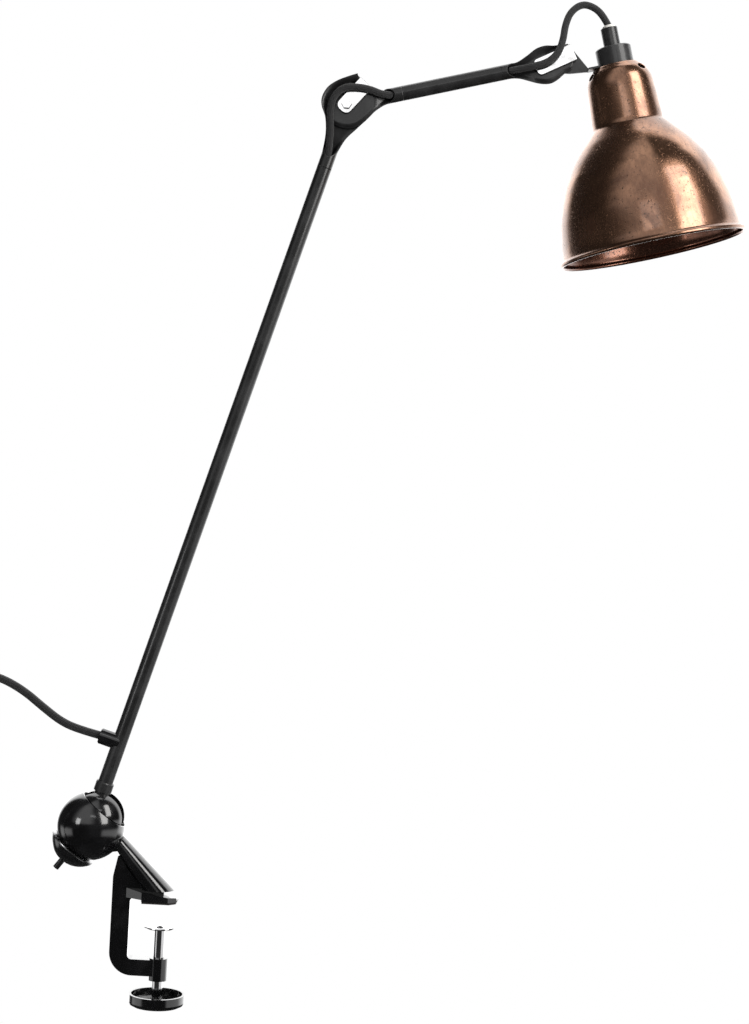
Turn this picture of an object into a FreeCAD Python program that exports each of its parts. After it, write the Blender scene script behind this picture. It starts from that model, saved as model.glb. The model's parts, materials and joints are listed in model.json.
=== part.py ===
import FreeCAD, Part
import math
import os

# Clamp-on architect desk lamp, in millimetres, +Z up.
# Origin: on the clamp screw's axis, at the face that rests on the table top.
# +X runs from the clamp's spine towards its mouth, -Y is the side that the bolt heads face.

Vec = FreeCAD.Vector

# ---- clamp ----
spine_x = -36.1            # back face of the C frame
spine_t = 13.4             # thickness of the spine along X
frame_w = 12.0             # width of the C frame along Y
corner_r = 17.0            # outer radius of the lower corner
lower_arm_top = -42.4      # top face of the C frame's lower arm
lower_arm_t = 12.0
pad_t = 1.5                # leather pad under the upper jaw
pad_x0 = -13.7
jaw_root_z = 2.9           # underside of the jaw beside the spine
jaw_back_top = 10.0        # top of the jaw beside the spine
jaw_tip_top = 4.4          # top of the jaw at its tip
jaw_tip_x = 11.8
jaw_w = 27.0
fin_foot_r = 12.4          # round foot of the fin that carries the ball
fin_foot_x = -3.4
fin_foot_z = 9.0
fin_neck = (-32.2, 41.1)   # centre of the fin's neck, beside the ball
fin_neck_long = 6.1
fin_neck_wide = 8.5
boss_r = 6.8
boss_z0 = -58.0
boss_z1 = -41.6
screw_r = 4.0
screw_clear = 0.06
disc_r = 12.3              # pressure disc
disc_z = -18.0             # its top at rest
disc_t = 2.2
knob_r = 20.7
knob_z0 = -76.9
knob_h = 8.9
knob_wall = 1.8

# ---- ball joint ----
ball_x = -56.0
ball_z = 52.2
swivel_tilt = 36.9         # swivel axis from the vertical, leaning to +X
band_r = 25.4              # fixed middle band of the ball, part of a sphere
band_centre = 1.5          # its sphere's centre along the swivel axis
band_low = -18.6
band_high = 17.2
band_floor = 3.6
drum_r = 14.0              # drum of the upper cap that turns in the band
drum_clear = 0.06
flare_low = 2.0            # the band's mouth flares above this, so that the arm can lean
flare_r = 19.0
seam_gap = 0.3
washer_t = 0.7
cap_low_r = 19.3           # lower cap at its seam
cap_low_h = 12.0
cap_high_r = 18.4          # upper cap at its seam
cap_high_h = 12.0
bolt_r = 2.5
peg_r = 2.3
peg_out = 7.5
slot_w = 14.4              # slot in the upper cap that the arm leans in
slot_floor = -9.4
tilt_pin_r = 2.5
eye_r = 8.5
eye_w = 13.0
eye_washer_t = 0.45
stem_s = 12.0              # where the long tube starts above the ball's centre

# ---- arms ----
tube_r = 5.5
tube_wall = 1.0
bore_clear = 0.05
arm_lean = 16.6            # long arm from the vertical
arm_len = 566.5            # ball centre to elbow pivot
short_rise = 14.6          # short arm above the horizontal
short_len = 153.7          # elbow pivot to head pivot
collar_r = 6.75
collar_s0 = 28.0
collar_s1 = 35.5
exit_s = 66.4              # cord ferrule along the long arm
ferrule_r = 6.0
ferrule_out = 10.0
cord_r = 3.0
lead_r = 2.6               # cord inside the arms and over the joints
lead_off = 1.8             # the cord lies this far towards -Y inside the tubes
lead_break = 1.2           # where one stretch of cord ends short of the next
groove = 13.0              # length of the groove that the cord leaves a mouth by
groove_clear = 0.4

# ---- joints of the arms ----
leaf_t = 1.8               # sheet of the flattened ends
leaf_gap = 0.35
elbow_leaf_r = 17.9
elbow_hood_r = 19.7
hood_wall = 1.4
hood_a0 = 75.0             # where the hood ends, above the horizontal
hood_a1 = 190.0
hood_tangent = 117.0       # where the hood's back runs on as a straight beak
hood_tip_r = 24.0
low_mouth = 42.0           # long arm: pivot to the mouth that the cord leaves by
low_root = 50.0            # long arm: pivot to where the arm is round again
high_mouth = 34.0          # the same on the short arm
high_root = 42.0
core_leaf_r = 11.6         # inner leaf of the short arm, inside the cord's bend
edge_dir = 47.4            # straight edge of the short arm's front wall
edge_off = 5.0
front_wall_t = 0.75
friction_t = 0.8
friction_r = 9.5
spring_t = 0.9
head_leaf_r = 14.0
head_mouth = 31.0
head_root = 37.0
pivot_r = 2.5
bolt_af = 6.6
bolt_head_h = 2.4
nut_h = 2.6
bar_t = 1.7
elbow_bar_w = 11.8
elbow_bar_back = 6.4
elbow_bar_front = 21.5
elbow_bar_dir = 50.0
head_bar_w = 12.4
head_bar_back = 12.0
head_bar_front = 18.5
head_bar_dir = 27.0

# ---- head ----
shade_tilt = 14.3          # shade axis from the vertical, foot towards +X
cap_top = (45.321, 13.567)  # centre of the lampholder cap's top, from the head pivot
cap_r = 13.2
cap_h = 12.6
neck_r = 6.2
neck_h = 14.6
grip_r = 5.15
grip_h = 2.2
ring_t = 1.4
strip_w = 12.0
bracket_r = 9.0
bracket_apex = (12.021, 15.167)    # from the head pivot
bracket_low = (15.021, -6.933)
strip_reach = 21.6         # strip from the shade's axis to the bracket's plate
shade_ring_gap = 0.9
shade_wall = 0.9
shade_top_r = 17.0
shoulder_r = 24.4
neck_foot_r = 26.4
shade_neck_h = 45.5
bell_r = 65.6
rim_r = 70.0
shade_h = 138.6
bead_r = 1.3
vent_r = 3.6
vent_count = 3
vent_first = 223.0          # round the axis from -X, the other way from the front
holder_r = 13.4
holder_neck_r = 9.1
holder_clear = 0.1
holder_len = 34.0
socket_r = 7.0
socket_len = 22.0


def rad(deg):
    return math.radians(deg)


def xz(x, z, y=0.0):
    return Vec(x, y, z)


def direction(deg):
    """Unit vector in the XZ plane, deg above +X."""
    return Vec(math.cos(rad(deg)), 0, math.sin(rad(deg)))


def cyl(start, axis, r, length):
    return Part.makeCylinder(r, length, start, axis)


def pipe(start, axis, r_out, r_in, length):
    return cyl(start, axis, r_out, length).cut(cyl(start - axis, axis, r_in, length + 2))


def slab(points, y0, y1):
    """Polygon of (x, z) points, extruded from y0 to y1."""
    ring = [Vec(x, y0, z) for x, z in points]
    face = Part.Face(Part.makePolygon(ring + [ring[0]]))
    return face.extrude(Vec(0, y1 - y0, 0))


def turned(points, origin, axis):
    """Profile of (distance along axis, radius) points, turned about the axis."""
    side = Vec(0, 1, 0).cross(axis)
    if side.Length < 0.5:
        side = Vec(1, 0, 0)
    side.normalize()
    ring = [origin + axis * s + side * r for s, r in points]
    face = Part.Face(Part.makePolygon(ring + [ring[0]]))
    return face.revolve(origin, axis, 360)


def hexagon(start, axis, across_flats, height):
    side = Vec(0, 1, 0)
    if abs(axis.dot(side)) > 0.9:
        side = Vec(1, 0, 0)
    other = axis.cross(side)
    r = across_flats / math.sqrt(3)
    ring = [start + side * (r * math.cos(rad(a))) + other * (r * math.sin(rad(a)))
            for a in range(0, 360, 60)]
    return Part.Face(Part.makePolygon(ring + [ring[0]])).extrude(axis * height)


def route_path(points):
    """Straight runs joined by tangent arcs, as one wire, with its length and least radius."""
    edges = []
    radii = []
    here = points[0]
    for before, corner, after in zip(points, points[1:], points[2:]):
        run_in = corner - before
        run_out = after - corner
        half = run_in.getAngle(run_out) / 2
        trim = 0.45 * min(run_in.Length, run_out.Length)
        radius = trim / math.tan(half)
        radii.append(radius)
        u = Vec(run_in).normalize()
        w = Vec(run_out).normalize()
        p0 = corner - u * trim
        p1 = corner + w * trim
        inward = (w - u).normalize()
        mid = corner + inward * (radius / math.cos(half) - radius)
        edges.append(Part.LineSegment(here, p0).toShape())
        edges.append(Part.Arc(p0, mid, p1).toShape())
        here = p1
    edges.append(Part.LineSegment(here, points[-1]).toShape())
    wire = Part.Wire(edges)
    return wire, min(radii) if radii else 0.0


def tube_along(wire, points, r):
    tangent = (points[1] - points[0]).normalize()
    circle = Part.Wire(Part.makeCircle(r, points[0], tangent))
    return wire.makePipeShell([circle], True, False)


def elbow_route():
    """The cord's points from the long arm's mouth, over the pivot, to the short arm's mouth."""
    offset = Vec(0, -lead_off, 0)
    mouth = elbow - arm_dir * low_mouth + offset
    entry = elbow + short_dir * high_mouth + offset
    return [mouth] + [elbow + Vec(x, y, z) for x, z, y in elbow_points] + [entry]


def cord_room():
    """The elbow cord's tube with a little room round it, cut out of what lies beside the cord."""
    points = elbow_route()
    wire, least = route_path(points)
    return tube_along(wire, points, lead_r + 0.3)


def cord_tube(name, points, r):
    wire, least = route_path(points)
    solid = tube_along(wire, points, r)
    ratio = solid.Volume / (math.pi * r * r * wire.Length)
    print("%s: length %.1f, least radius %.1f, volume ratio %.4f" % (name, wire.Length, least, ratio))
    return solid


# ---- cord over the elbow ----
# The cord over the elbow, from the long arm's mouth to the short arm's, from the pivot: x, z, y.
elbow_points = [(-10.4, -32.5, -2.1), (-12.0, -20.0, -2.6), (-14.2, -7.0, -2.7), (-13.4, 6.6, -2.7),
                (-5.6, 14.0, -2.7), (5.4, 14.6, -2.7), (15.6, 11.2, -2.5), (24.6, 7.4, -2.0)]

parts = {}

# ---- places worked out from the sizes above ----
up = Vec(0, 0, 1)
ball = xz(ball_x, ball_z)
swivel = direction(90 - swivel_tilt)
arm_dir = direction(90 - arm_lean)
elbow = ball + arm_dir * arm_len
short_dir = direction(short_rise)
head = elbow + short_dir * short_len
shade_axis = Vec(math.sin(rad(shade_tilt)), 0, -math.cos(rad(shade_tilt)))
cap_centre = head + xz(cap_top[0], cap_top[1])
cap_foot = cap_centre + shade_axis * cap_h


def rounded(points, y0, y1):
    """Outline of (x, z, corner radius) points with arcs at its corners, extruded from y0 to y1."""
    edges = []
    count = len(points)
    ends = []
    for i in range(count):
        x, z, r = points[i]
        corner = Vec(x, y0, z)
        before = Vec(points[i - 1][0], y0, points[i - 1][1])
        after = Vec(points[(i + 1) % count][0], y0, points[(i + 1) % count][1])
        if r <= 0:
            ends.append((corner, corner))
            continue
        u = (before - corner).normalize()
        w = (after - corner).normalize()
        half = u.getAngle(w) / 2
        trim = r / math.tan(half)
        mid = corner + (u + w).normalize() * (r / math.sin(half) - r)
        ends.append((corner + u * trim, corner + w * trim))
        edges.append(Part.Arc(ends[-1][0], mid, ends[-1][1]).toShape())
    for i in range(count):
        p0 = ends[i][1]
        p1 = ends[(i + 1) % count][0]
        if (p1 - p0).Length > 1e-6:
            edges.append(Part.LineSegment(p0, p1).toShape())
    wire = Part.Wire(Part.__sortEdges__(edges))
    return Part.Face(wire).extrude(Vec(0, y1 - y0, 0))


def ellipse_wire(centre, normal, major_dir, major, minor):
    """Ellipse with its first axis along major_dir."""
    if major >= minor:
        first, a, b = major_dir, major, minor
    else:
        first, a, b = normal.cross(major_dir), minor, major
    curve = Part.Ellipse(centre + first * a, centre + normal.cross(first) * b, centre)
    return Part.Wire(curve.toShape())


def ball_cap(origin, axis, base_r, height):
    """Solid cap of a sphere that stands on origin along axis."""
    r = (base_r * base_r + height * height) / (2 * height)
    ball_solid = Part.makeSphere(r, origin + axis * (height - r))
    return ball_solid.common(cyl(origin, axis, base_r + 1, height + 1))


def largest(shape):
    """The biggest solid of a cut piece, without the slivers beside it."""
    return max(shape.Solids, key=lambda solid: solid.Volume).removeSplitter()


def clamp_pieces():
    half = frame_w / 2
    spine_in = spine_x + spine_t
    low = lower_arm_top - lower_arm_t
    frame = rounded([(spine_x, low, corner_r), (boss_r * -0.5, low, 0), (boss_r * -0.5, lower_arm_top, 0),
                     (spine_in, lower_arm_top, 3.0), (spine_in, jaw_root_z, 3.0),
                     (pad_x0, jaw_root_z, 0), (pad_x0, jaw_back_top - 1.0, 0), (spine_in - 3, 24.0, 6.0),
                     (fin_neck[0] - 0.5, fin_neck[1] - 6, 1.0), (spine_x, 18.0, 12.0)], -half, half)
    boss = cyl(xz(0, boss_z0), up, boss_r, boss_z1 - boss_z0)
    jaw_side = rounded([(spine_in - 3, jaw_root_z, 0), (pad_x0, jaw_root_z, 0), (pad_x0, pad_t, 0),
                        (jaw_tip_x, pad_t, 1.2), (jaw_tip_x, jaw_tip_top, 1.2),
                        (spine_in - 3, jaw_back_top, 0)], -jaw_w / 2, jaw_w / 2)
    reach = jaw_tip_x - spine_in + 3
    plan_side = jaw_w / 2
    plan = [Vec(spine_in - 3, -half, 0), Vec(pad_x0, -plan_side, 0), Vec(jaw_tip_x - 6, -plan_side, 0),
            Vec(jaw_tip_x, -plan_side + 6, 0), Vec(jaw_tip_x, plan_side - 6, 0),
            Vec(jaw_tip_x - 6, plan_side, 0), Vec(pad_x0, plan_side, 0), Vec(spine_in - 3, half, 0)]
    plan_face = Part.Face(Part.makePolygon(plan + [plan[0]]))
    jaw = jaw_side.common(plan_face.extrude(Vec(0, 0, reach)))
    foot = Part.Wire(Part.makeCircle(fin_foot_r, xz(fin_foot_x, fin_foot_z), up))
    neck_at = xz(fin_neck[0], fin_neck[1])
    neck = ellipse_wire(neck_at, direction(-22), direction(68), fin_neck_long, fin_neck_wide)
    fin = Part.makeLoft([foot, neck], True, True)
    fin_base = Part.makeBox(fin_foot_r * 1.4, fin_foot_r * 1.2, 4.5,
                            Vec(fin_foot_x - fin_foot_r * 0.95, -fin_foot_r * 0.6, fin_foot_z - 4.5))
    root = ellipse_wire(ball + direction(-53.1) * (band_r - 9), direction(-53.1), swivel,
                        band_r * 0.5, band_r * 0.52)
    stem = Part.makeLoft([root, neck], True, True)
    sphere = Part.makeSphere(band_r, ball + swivel * band_centre)
    band = sphere.common(cyl(ball + swivel * band_low, swivel, band_r + 5, band_high - band_low))
    casting = frame.fuse([boss, jaw, fin, fin_base, stem, band]).removeSplitter()
    inner_r = drum_r + drum_clear
    floor_top = band_low + band_floor
    hollow = turned([(floor_top, 0), (floor_top, inner_r), (flare_low, inner_r),
                     (band_high + 0.5, flare_r + 0.2), (band_high + 0.5, 0)], ball, swivel)
    trim_low = cyl(ball + swivel * (band_low - 20), swivel, 40, 20)
    casting = casting.cut(hollow)
    casting = casting.cut(cyl(ball + swivel * (band_low - 3), swivel, bolt_r + bore_clear, band_floor + 6))
    casting = casting.cut(trim_low.common(Part.makeSphere(band_r + 1, ball)))
    casting = casting.cut(cyl(xz(0, boss_z0 - 1), up, screw_r + screw_clear, boss_z1 - boss_z0 + 2))
    parts["clamp_frame"] = casting

    pad = rounded([(pad_x0 + 0.2, 0, 0.4), (jaw_tip_x - 0.3, 0, 0.6), (jaw_tip_x - 0.3, pad_t, 0),
                   (pad_x0 + 0.2, pad_t, 0)], -plan_side + 0.6, plan_side - 0.6)
    corner = plan_face.extrude(Vec(0, 0, pad_t + 1))
    parts["jaw_pad"] = pad.common(corner)

    screw_top = disc_z - disc_t
    floor_z = knob_z0 + knob_wall
    screw = cyl(xz(0, knob_z0), up, screw_r, screw_top - knob_z0 - 0.5)
    tip = cyl(xz(0, screw_top - 0.5), up, screw_r * 0.55, disc_t - 0.2)
    parts["clamp_screw"] = screw.fuse(tip).removeSplitter()
    parts["screw_tip_rivet"] = turned([(disc_z - 0.7, 0), (disc_z - 0.7, 2.6), (disc_z - 0.3, 2.6),
                                       (disc_z + 0.2, 1.6), (disc_z + 0.3, 0)], Vec(0, 0, 0), up)
    disc = turned([(screw_top, screw_r * 0.55 + 0.06), (screw_top, screw_r + 1.0),
                   (screw_top + 0.4, disc_r - 2.5),
                   (disc_z - 0.6, disc_r), (disc_z, disc_r - 0.2), (disc_z - 0.9, disc_r - 2.6),
                   (disc_z - 0.9, screw_r * 0.55 + 0.06)], Vec(0, 0, 0), up)
    parts["pressure_disc"] = disc
    rim = knob_z0 + knob_h
    cup = turned([(knob_z0, screw_r + 0.02), (knob_z0, knob_r - 3.2), (knob_z0 + 1.2, knob_r - 1.0),
                  (knob_z0 + 3.2, knob_r), (rim, knob_r), (rim, knob_r - knob_wall),
                  (knob_z0 + 3.6, knob_r - knob_wall), (floor_z, knob_r - 4.4), (floor_z, screw_r + 0.02)],
                 Vec(0, 0, 0), up)
    parts["clamp_knob"] = cup
    parts["knob_nut"] = pipe(xz(0, floor_z), up, screw_r + 2.2, screw_r + 0.02, 2.4)


def ball_pieces():
    low = band_low - washer_t - seam_gap
    bolt_end = slot_floor - 0.4
    lower = ball_cap(ball + swivel * low, swivel * -1, cap_low_r, cap_low_h)
    bore = cyl(ball + swivel * (low - cap_low_h - 2), swivel, bolt_r + 0.02, cap_low_h + 4)
    parts["ball_lower_cap"] = lower.cut(bore)
    parts["seam_washer"] = pipe(ball + swivel * low, swivel, cap_low_r - 0.6, bolt_r + 3, washer_t)
    high = band_high + seam_gap
    dome = ball_cap(ball + swivel * high, swivel, cap_high_r, cap_high_h)
    drum_low = band_low + band_floor + seam_gap
    drum = turned([(drum_low, 0), (drum_low, drum_r), (high + 1, drum_r), (high + 1, 0)], ball, swivel)
    cap = dome.fuse(drum).removeSplitter()
    length = high + cap_high_h + 5 - slot_floor
    slot = Part.makeBox(80, slot_w, length, Vec(-40, -slot_w / 2, slot_floor))
    slot.rotate(Vec(0, 0, 0), Vec(0, 1, 0), swivel_tilt)
    slot.translate(ball)
    cap = cap.cut(slot)
    cap = cap.cut(cyl(ball + Vec(0, -drum_r - 1, 0), Vec(0, 1, 0), tilt_pin_r + 0.02, 2 * drum_r + 2))
    cap = cap.cut(cyl(ball + swivel * (drum_low - 1), swivel, bolt_r + 0.02, slot_floor - drum_low + 2))
    parts["ball_upper_cap"] = cap
    pole = low - cap_low_h
    bolt = cyl(ball + swivel * (pole - 0.2), swivel, bolt_r, bolt_end - pole + 0.2)
    peg = cyl(ball + swivel * (pole - peg_out), swivel, peg_r, peg_out)
    parts["swivel_bolt"] = bolt.fuse(peg).removeSplitter()
    parts["tilt_pin"] = cyl(ball + Vec(0, -drum_r + 0.6, 0), Vec(0, 1, 0), tilt_pin_r, 2 * drum_r - 1.2)
    side = eye_w / 2
    shims = []
    for y in (-side - eye_washer_t, side):
        shims.append(pipe(ball + Vec(0, y, 0), Vec(0, 1, 0), eye_r - 1, tilt_pin_r + bore_clear,
                          eye_washer_t))
    parts["tilt_washers"] = Part.makeCompound(shims)


def at_arm(s):
    return ball + arm_dir * s


def teardrop(pivot, along, r, root, half_root, y0, y1):
    """Disc about the pivot with straight sides that close in to the arm's width at root."""
    across = Vec(0, 1, 0).cross(along)
    lean = math.asin((r - half_root) / root)
    touch = along * (r * math.sin(lean)) + across * (r * math.cos(lean))
    touch_other = along * (r * math.sin(lean)) - across * (r * math.cos(lean))
    end_a = pivot + along * root + across * half_root
    end_b = pivot + along * root - across * half_root
    ring = [pivot + touch, end_a, end_b, pivot + touch_other]
    ring = [Vec(p.x, y0, p.z) for p in ring]
    web = Part.Face(Part.makePolygon(ring + [ring[0]])).extrude(Vec(0, y1 - y0, 0))
    disc = cyl(Vec(pivot.x, y0, pivot.z), Vec(0, 1, 0), r, y1 - y0)
    return disc.fuse(web).removeSplitter()


def arm_end(pivot, along, leaf_r, root, mouth, y_near, y_far):
    """Flattened end of an arm: a leaf about the pivot, a socket on the tube and the cord's mouth."""
    y0, y1 = min(y_near, y_far), max(y_near, y_far)
    leaf = teardrop(pivot, along, leaf_r, root, tube_r, y0, y1)
    start = pivot + along * mouth
    socket = cyl(start, along, tube_r, root - mouth)
    piece = leaf.fuse(socket).removeSplitter()
    inner = tube_r - tube_wall
    piece = piece.cut(cyl(start, along, inner, root - mouth + 12))
    piece = piece.cut(cyl(start - along * groove + Vec(0, -lead_off, 0), along, lead_r + groove_clear,
                          groove + 1))
    return piece.cut(cyl(Vec(pivot.x, -20, pivot.z), Vec(0, 1, 0), pivot_r + bore_clear, 40))


def lower_arm_pieces():
    inner = tube_r - tube_wall
    exit_at = at_arm(exit_s)
    side = Vec(-arm_dir.z, 0, arm_dir.x)
    eye = cyl(ball + Vec(0, -eye_w / 2, 0), Vec(0, 1, 0), eye_r, eye_w)
    eye = eye.fuse(cyl(ball, arm_dir, tube_r, stem_s - 0.02))
    eye = eye.fuse(cyl(ball, arm_dir, inner - 0.02, stem_s + 18))
    eye = eye.cut(cyl(ball + Vec(0, -eye_w, 0), Vec(0, 1, 0), tilt_pin_r + bore_clear, eye_w * 2))
    parts["arm_eye"] = eye.removeSplitter()
    tube_end = arm_len - low_root
    tube = pipe(at_arm(stem_s), arm_dir, tube_r, inner, tube_end - stem_s)
    tube = tube.cut(cyl(exit_at, side, cord_r + 0.02, tube_r + 2))
    parts["lower_arm_tube"] = tube
    parts["arm_collar"] = turned([(collar_s0, tube_r + 0.01), (collar_s0, collar_r),
                                  (collar_s1 - 0.8, collar_r), (collar_s1, collar_r - 0.6),
                                  (collar_s1, tube_r + 0.01)], ball, arm_dir)
    top = tube_r + ferrule_out
    block = cyl(exit_at, side, ferrule_r, top - 0.6).fuse(cyl(exit_at, side, ferrule_r - 0.6, top))
    saddle = cyl(exit_at - arm_dir * 12, arm_dir, tube_r + 0.01, 24)
    block = block.cut(saddle).cut(cyl(exit_at, side, cord_r + 0.02, top + 2))
    parts["cord_ferrule"] = block.removeSplitter()
    stub = cyl(exit_at, side, lead_r, top - lead_break)
    lead_end = arm_len - low_mouth - lead_break
    lead_at = exit_at - arm_dir * 2.5 + Vec(0, -lead_off, 0)
    lead = cyl(lead_at, arm_dir, lead_r, lead_end - exit_s + 2.5)
    parts["lower_arm_lead"] = lead.fuse(stub).removeSplitter()

    y0 = leaf_gap / 2 + friction_t / 2
    leaf = arm_end(elbow, arm_dir * -1, elbow_leaf_r + 0.9, low_root, low_mouth, y0, y0 + leaf_t)
    r_in = elbow_hood_r - hood_wall
    wedge = cyl(Vec(elbow.x, -tube_r, elbow.z), Vec(0, 1, 0), elbow_hood_r, y0 + leaf_t + tube_r)
    wedge = wedge.cut(cyl(Vec(elbow.x, -tube_r - 1, elbow.z), Vec(0, 1, 0), r_in, y0 + leaf_t + tube_r + 2))
    far = 60
    mid = (hood_a0 + hood_a1) / 2
    sector = [(elbow.x, elbow.z)]
    for a in (hood_a0, mid, hood_a1):
        sector.append((elbow.x + far * math.cos(rad(a)), elbow.z + far * math.sin(rad(a))))
    wedge = wedge.common(slab(sector, -tube_r - 1, y0 + leaf_t + 1))
    tip = elbow + direction(hood_a0) * hood_tip_r
    start = elbow + direction(hood_tangent) * elbow_hood_r
    inner_start = elbow + direction(hood_tangent) * (r_in + 0.1)
    under = elbow + direction(hood_a0) * (r_in + 0.1)
    beak = slab([(start.x, start.z), (tip.x, tip.z), (under.x, under.z), (inner_start.x, inner_start.z)],
                -tube_r, y0 + leaf_t)
    beak = beak.cut(cyl(Vec(elbow.x, -tube_r - 1, elbow.z), Vec(0, 1, 0), r_in, 2 * tube_r))
    back_leaf = cyl(Vec(elbow.x, y0, elbow.z), Vec(0, 1, 0), elbow_hood_r, leaf_t)
    back_leaf = back_leaf.cut(cyl(Vec(elbow.x, y0 - 1, elbow.z), Vec(0, 1, 0), elbow_leaf_r - 2, leaf_t + 2))
    back_leaf = back_leaf.common(slab(sector, y0, y0 + leaf_t))
    parts["elbow_hood"] = leaf.fuse([wedge, beak, back_leaf]).removeSplitter()
    parts["elbow_friction_disc"] = pipe(Vec(elbow.x, y0 - friction_t, elbow.z), Vec(0, 1, 0),
                                        friction_r, pivot_r + bore_clear, friction_t)


def pivot_set(prefix, pivot, bar_dir, bar_back, bar_front, bar_w, y_leaf, y_back, flush):
    """Bar, bolt, spring washer and nut that hold two leaves together."""
    along = direction(bar_dir)
    across = direction(bar_dir + 90)
    w = bar_w / 2
    y0 = y_leaf - bar_t
    chamfer = 2.2
    outline = []
    for s, t in ((-bar_back, -w + chamfer), (-bar_back + chamfer, -w), (bar_front, -w), (bar_front, w),
                 (-bar_back + chamfer, w), (-bar_back, w - chamfer)):
        p = pivot + along * s + across * t
        outline.append((p.x, p.z))
    bar = slab(outline, y0, y_leaf)
    bar = bar.cut(cyl(Vec(pivot.x, y0 - 1, pivot.z), Vec(0, 1, 0), pivot_r + 0.02, bar_t + 2))
    parts[prefix + "_bar"] = bar
    head_y = y0 - bolt_head_h
    end_y = y_back + spring_t + nut_h
    if flush:
        bolt = cyl(Vec(pivot.x, y0 - 0.3, pivot.z), Vec(0, 1, 0), pivot_r, end_y - y0 + 0.3)
    else:
        bolt = hexagon(Vec(pivot.x, head_y, pivot.z), Vec(0, 1, 0), bolt_af, bolt_head_h)
        bolt = bolt.fuse(cyl(Vec(pivot.x, head_y + 0.5, pivot.z), Vec(0, 1, 0), pivot_r,
                             end_y - head_y - 0.5))
    parts[prefix + "_bolt"] = bolt.removeSplitter()
    parts[prefix + "_spring_washer"] = turned([(0.0, pivot_r + 0.02), (0.0, 5.2), (0.35, 5.4),
                                               (spring_t, 3.6), (spring_t, pivot_r + 0.02)],
                                              Vec(pivot.x, y_back, pivot.z), Vec(0, 1, 0))
    nut = hexagon(Vec(pivot.x, y_back + spring_t, pivot.z), Vec(0, 1, 0), bolt_af + 0.4, nut_h)
    parts[prefix + "_nut"] = nut.cut(cyl(Vec(pivot.x, y_back, pivot.z), Vec(0, 1, 0), pivot_r + 0.02, 9))


def short_arm_pieces():
    inner = tube_r - tube_wall
    y1 = -(leaf_gap / 2 + friction_t / 2)
    short_side = short_dir.cross(Vec(0, 1, 0)) * -1
    whole = arm_end(elbow, short_dir, elbow_leaf_r, high_root, high_mouth, y1 - leaf_t, y1)
    core = cyl(Vec(elbow.x, y1 - leaf_t, elbow.z), Vec(0, 1, 0), core_leaf_r, leaf_t)
    a = elbow + short_side * 0.5 - short_dir * core_leaf_r * 0.55
    b = elbow + short_side * 0.5 + short_dir * high_mouth
    c = b + short_side * 40
    d = a + short_side * 40
    lower_half = slab([(p.x, p.z) for p in (a, b, c, d)], -tube_r - 1, 3)
    skin = teardrop(elbow, short_dir, elbow_leaf_r, high_root, tube_r, -tube_r, y1 - 0.01)
    hollow = teardrop(elbow, short_dir, elbow_leaf_r - 1.3, high_root, tube_r - 1.3,
                      -tube_r + front_wall_t, y1 - leaf_t + 0.01)
    edge = elbow + direction(edge_dir - 90) * edge_off
    e0 = edge - direction(edge_dir) * 40
    e1 = edge + direction(edge_dir) * 60
    e2 = e1 + direction(edge_dir - 90) * 60
    e3 = e0 + direction(edge_dir - 90) * 60
    edge_side = slab([(p.x, p.z) for p in (e0, e1, e2, e3)], -tube_r - 1, 3)
    skin = skin.cut(hollow).common(lower_half).common(edge_side)
    skin = skin.cut(cyl(elbow + short_dir * high_mouth - short_dir * 30, short_dir, inner, 60))
    leaf = whole.common(lower_half).fuse([core, skin, whole.common(
        cyl(elbow + short_dir * high_mouth, short_dir, tube_r + 1, high_root))])
    leaf = leaf.cut(cyl(Vec(elbow.x, -20, elbow.z), Vec(0, 1, 0), pivot_r + bore_clear, 40))
    leaf = leaf.cut(cyl(elbow + short_dir * (high_mouth - groove) + Vec(0, -lead_off, 0), short_dir,
                        lead_r + groove_clear, groove + 1))
    parts["short_arm_elbow_leaf"] = largest(leaf.cut(cord_room()))
    pivot_set("elbow", elbow, elbow_bar_dir, elbow_bar_back, elbow_bar_front, elbow_bar_w,
              y1 - leaf_t - leaf_gap, -y1 + leaf_t + 0.01, False)
    parts["elbow_bar"] = largest(parts["elbow_bar"].cut(cord_room()))
    start = elbow + short_dir * high_root
    run = short_len - high_root - head_root
    parts["short_arm_tube"] = pipe(start, short_dir, tube_r, inner, run)
    leaf = arm_end(head, short_dir * -1, head_leaf_r, head_root, head_mouth, y1 - leaf_t, y1)
    parts["short_arm_head_leaf"] = leaf
    lead_run = short_len - high_mouth - head_mouth
    lead_at = elbow + short_dir * (high_mouth + lead_break) + Vec(0, -lead_off, 0)
    parts["short_arm_lead"] = cyl(lead_at, short_dir, lead_r, lead_run - 2 * lead_break)


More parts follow.
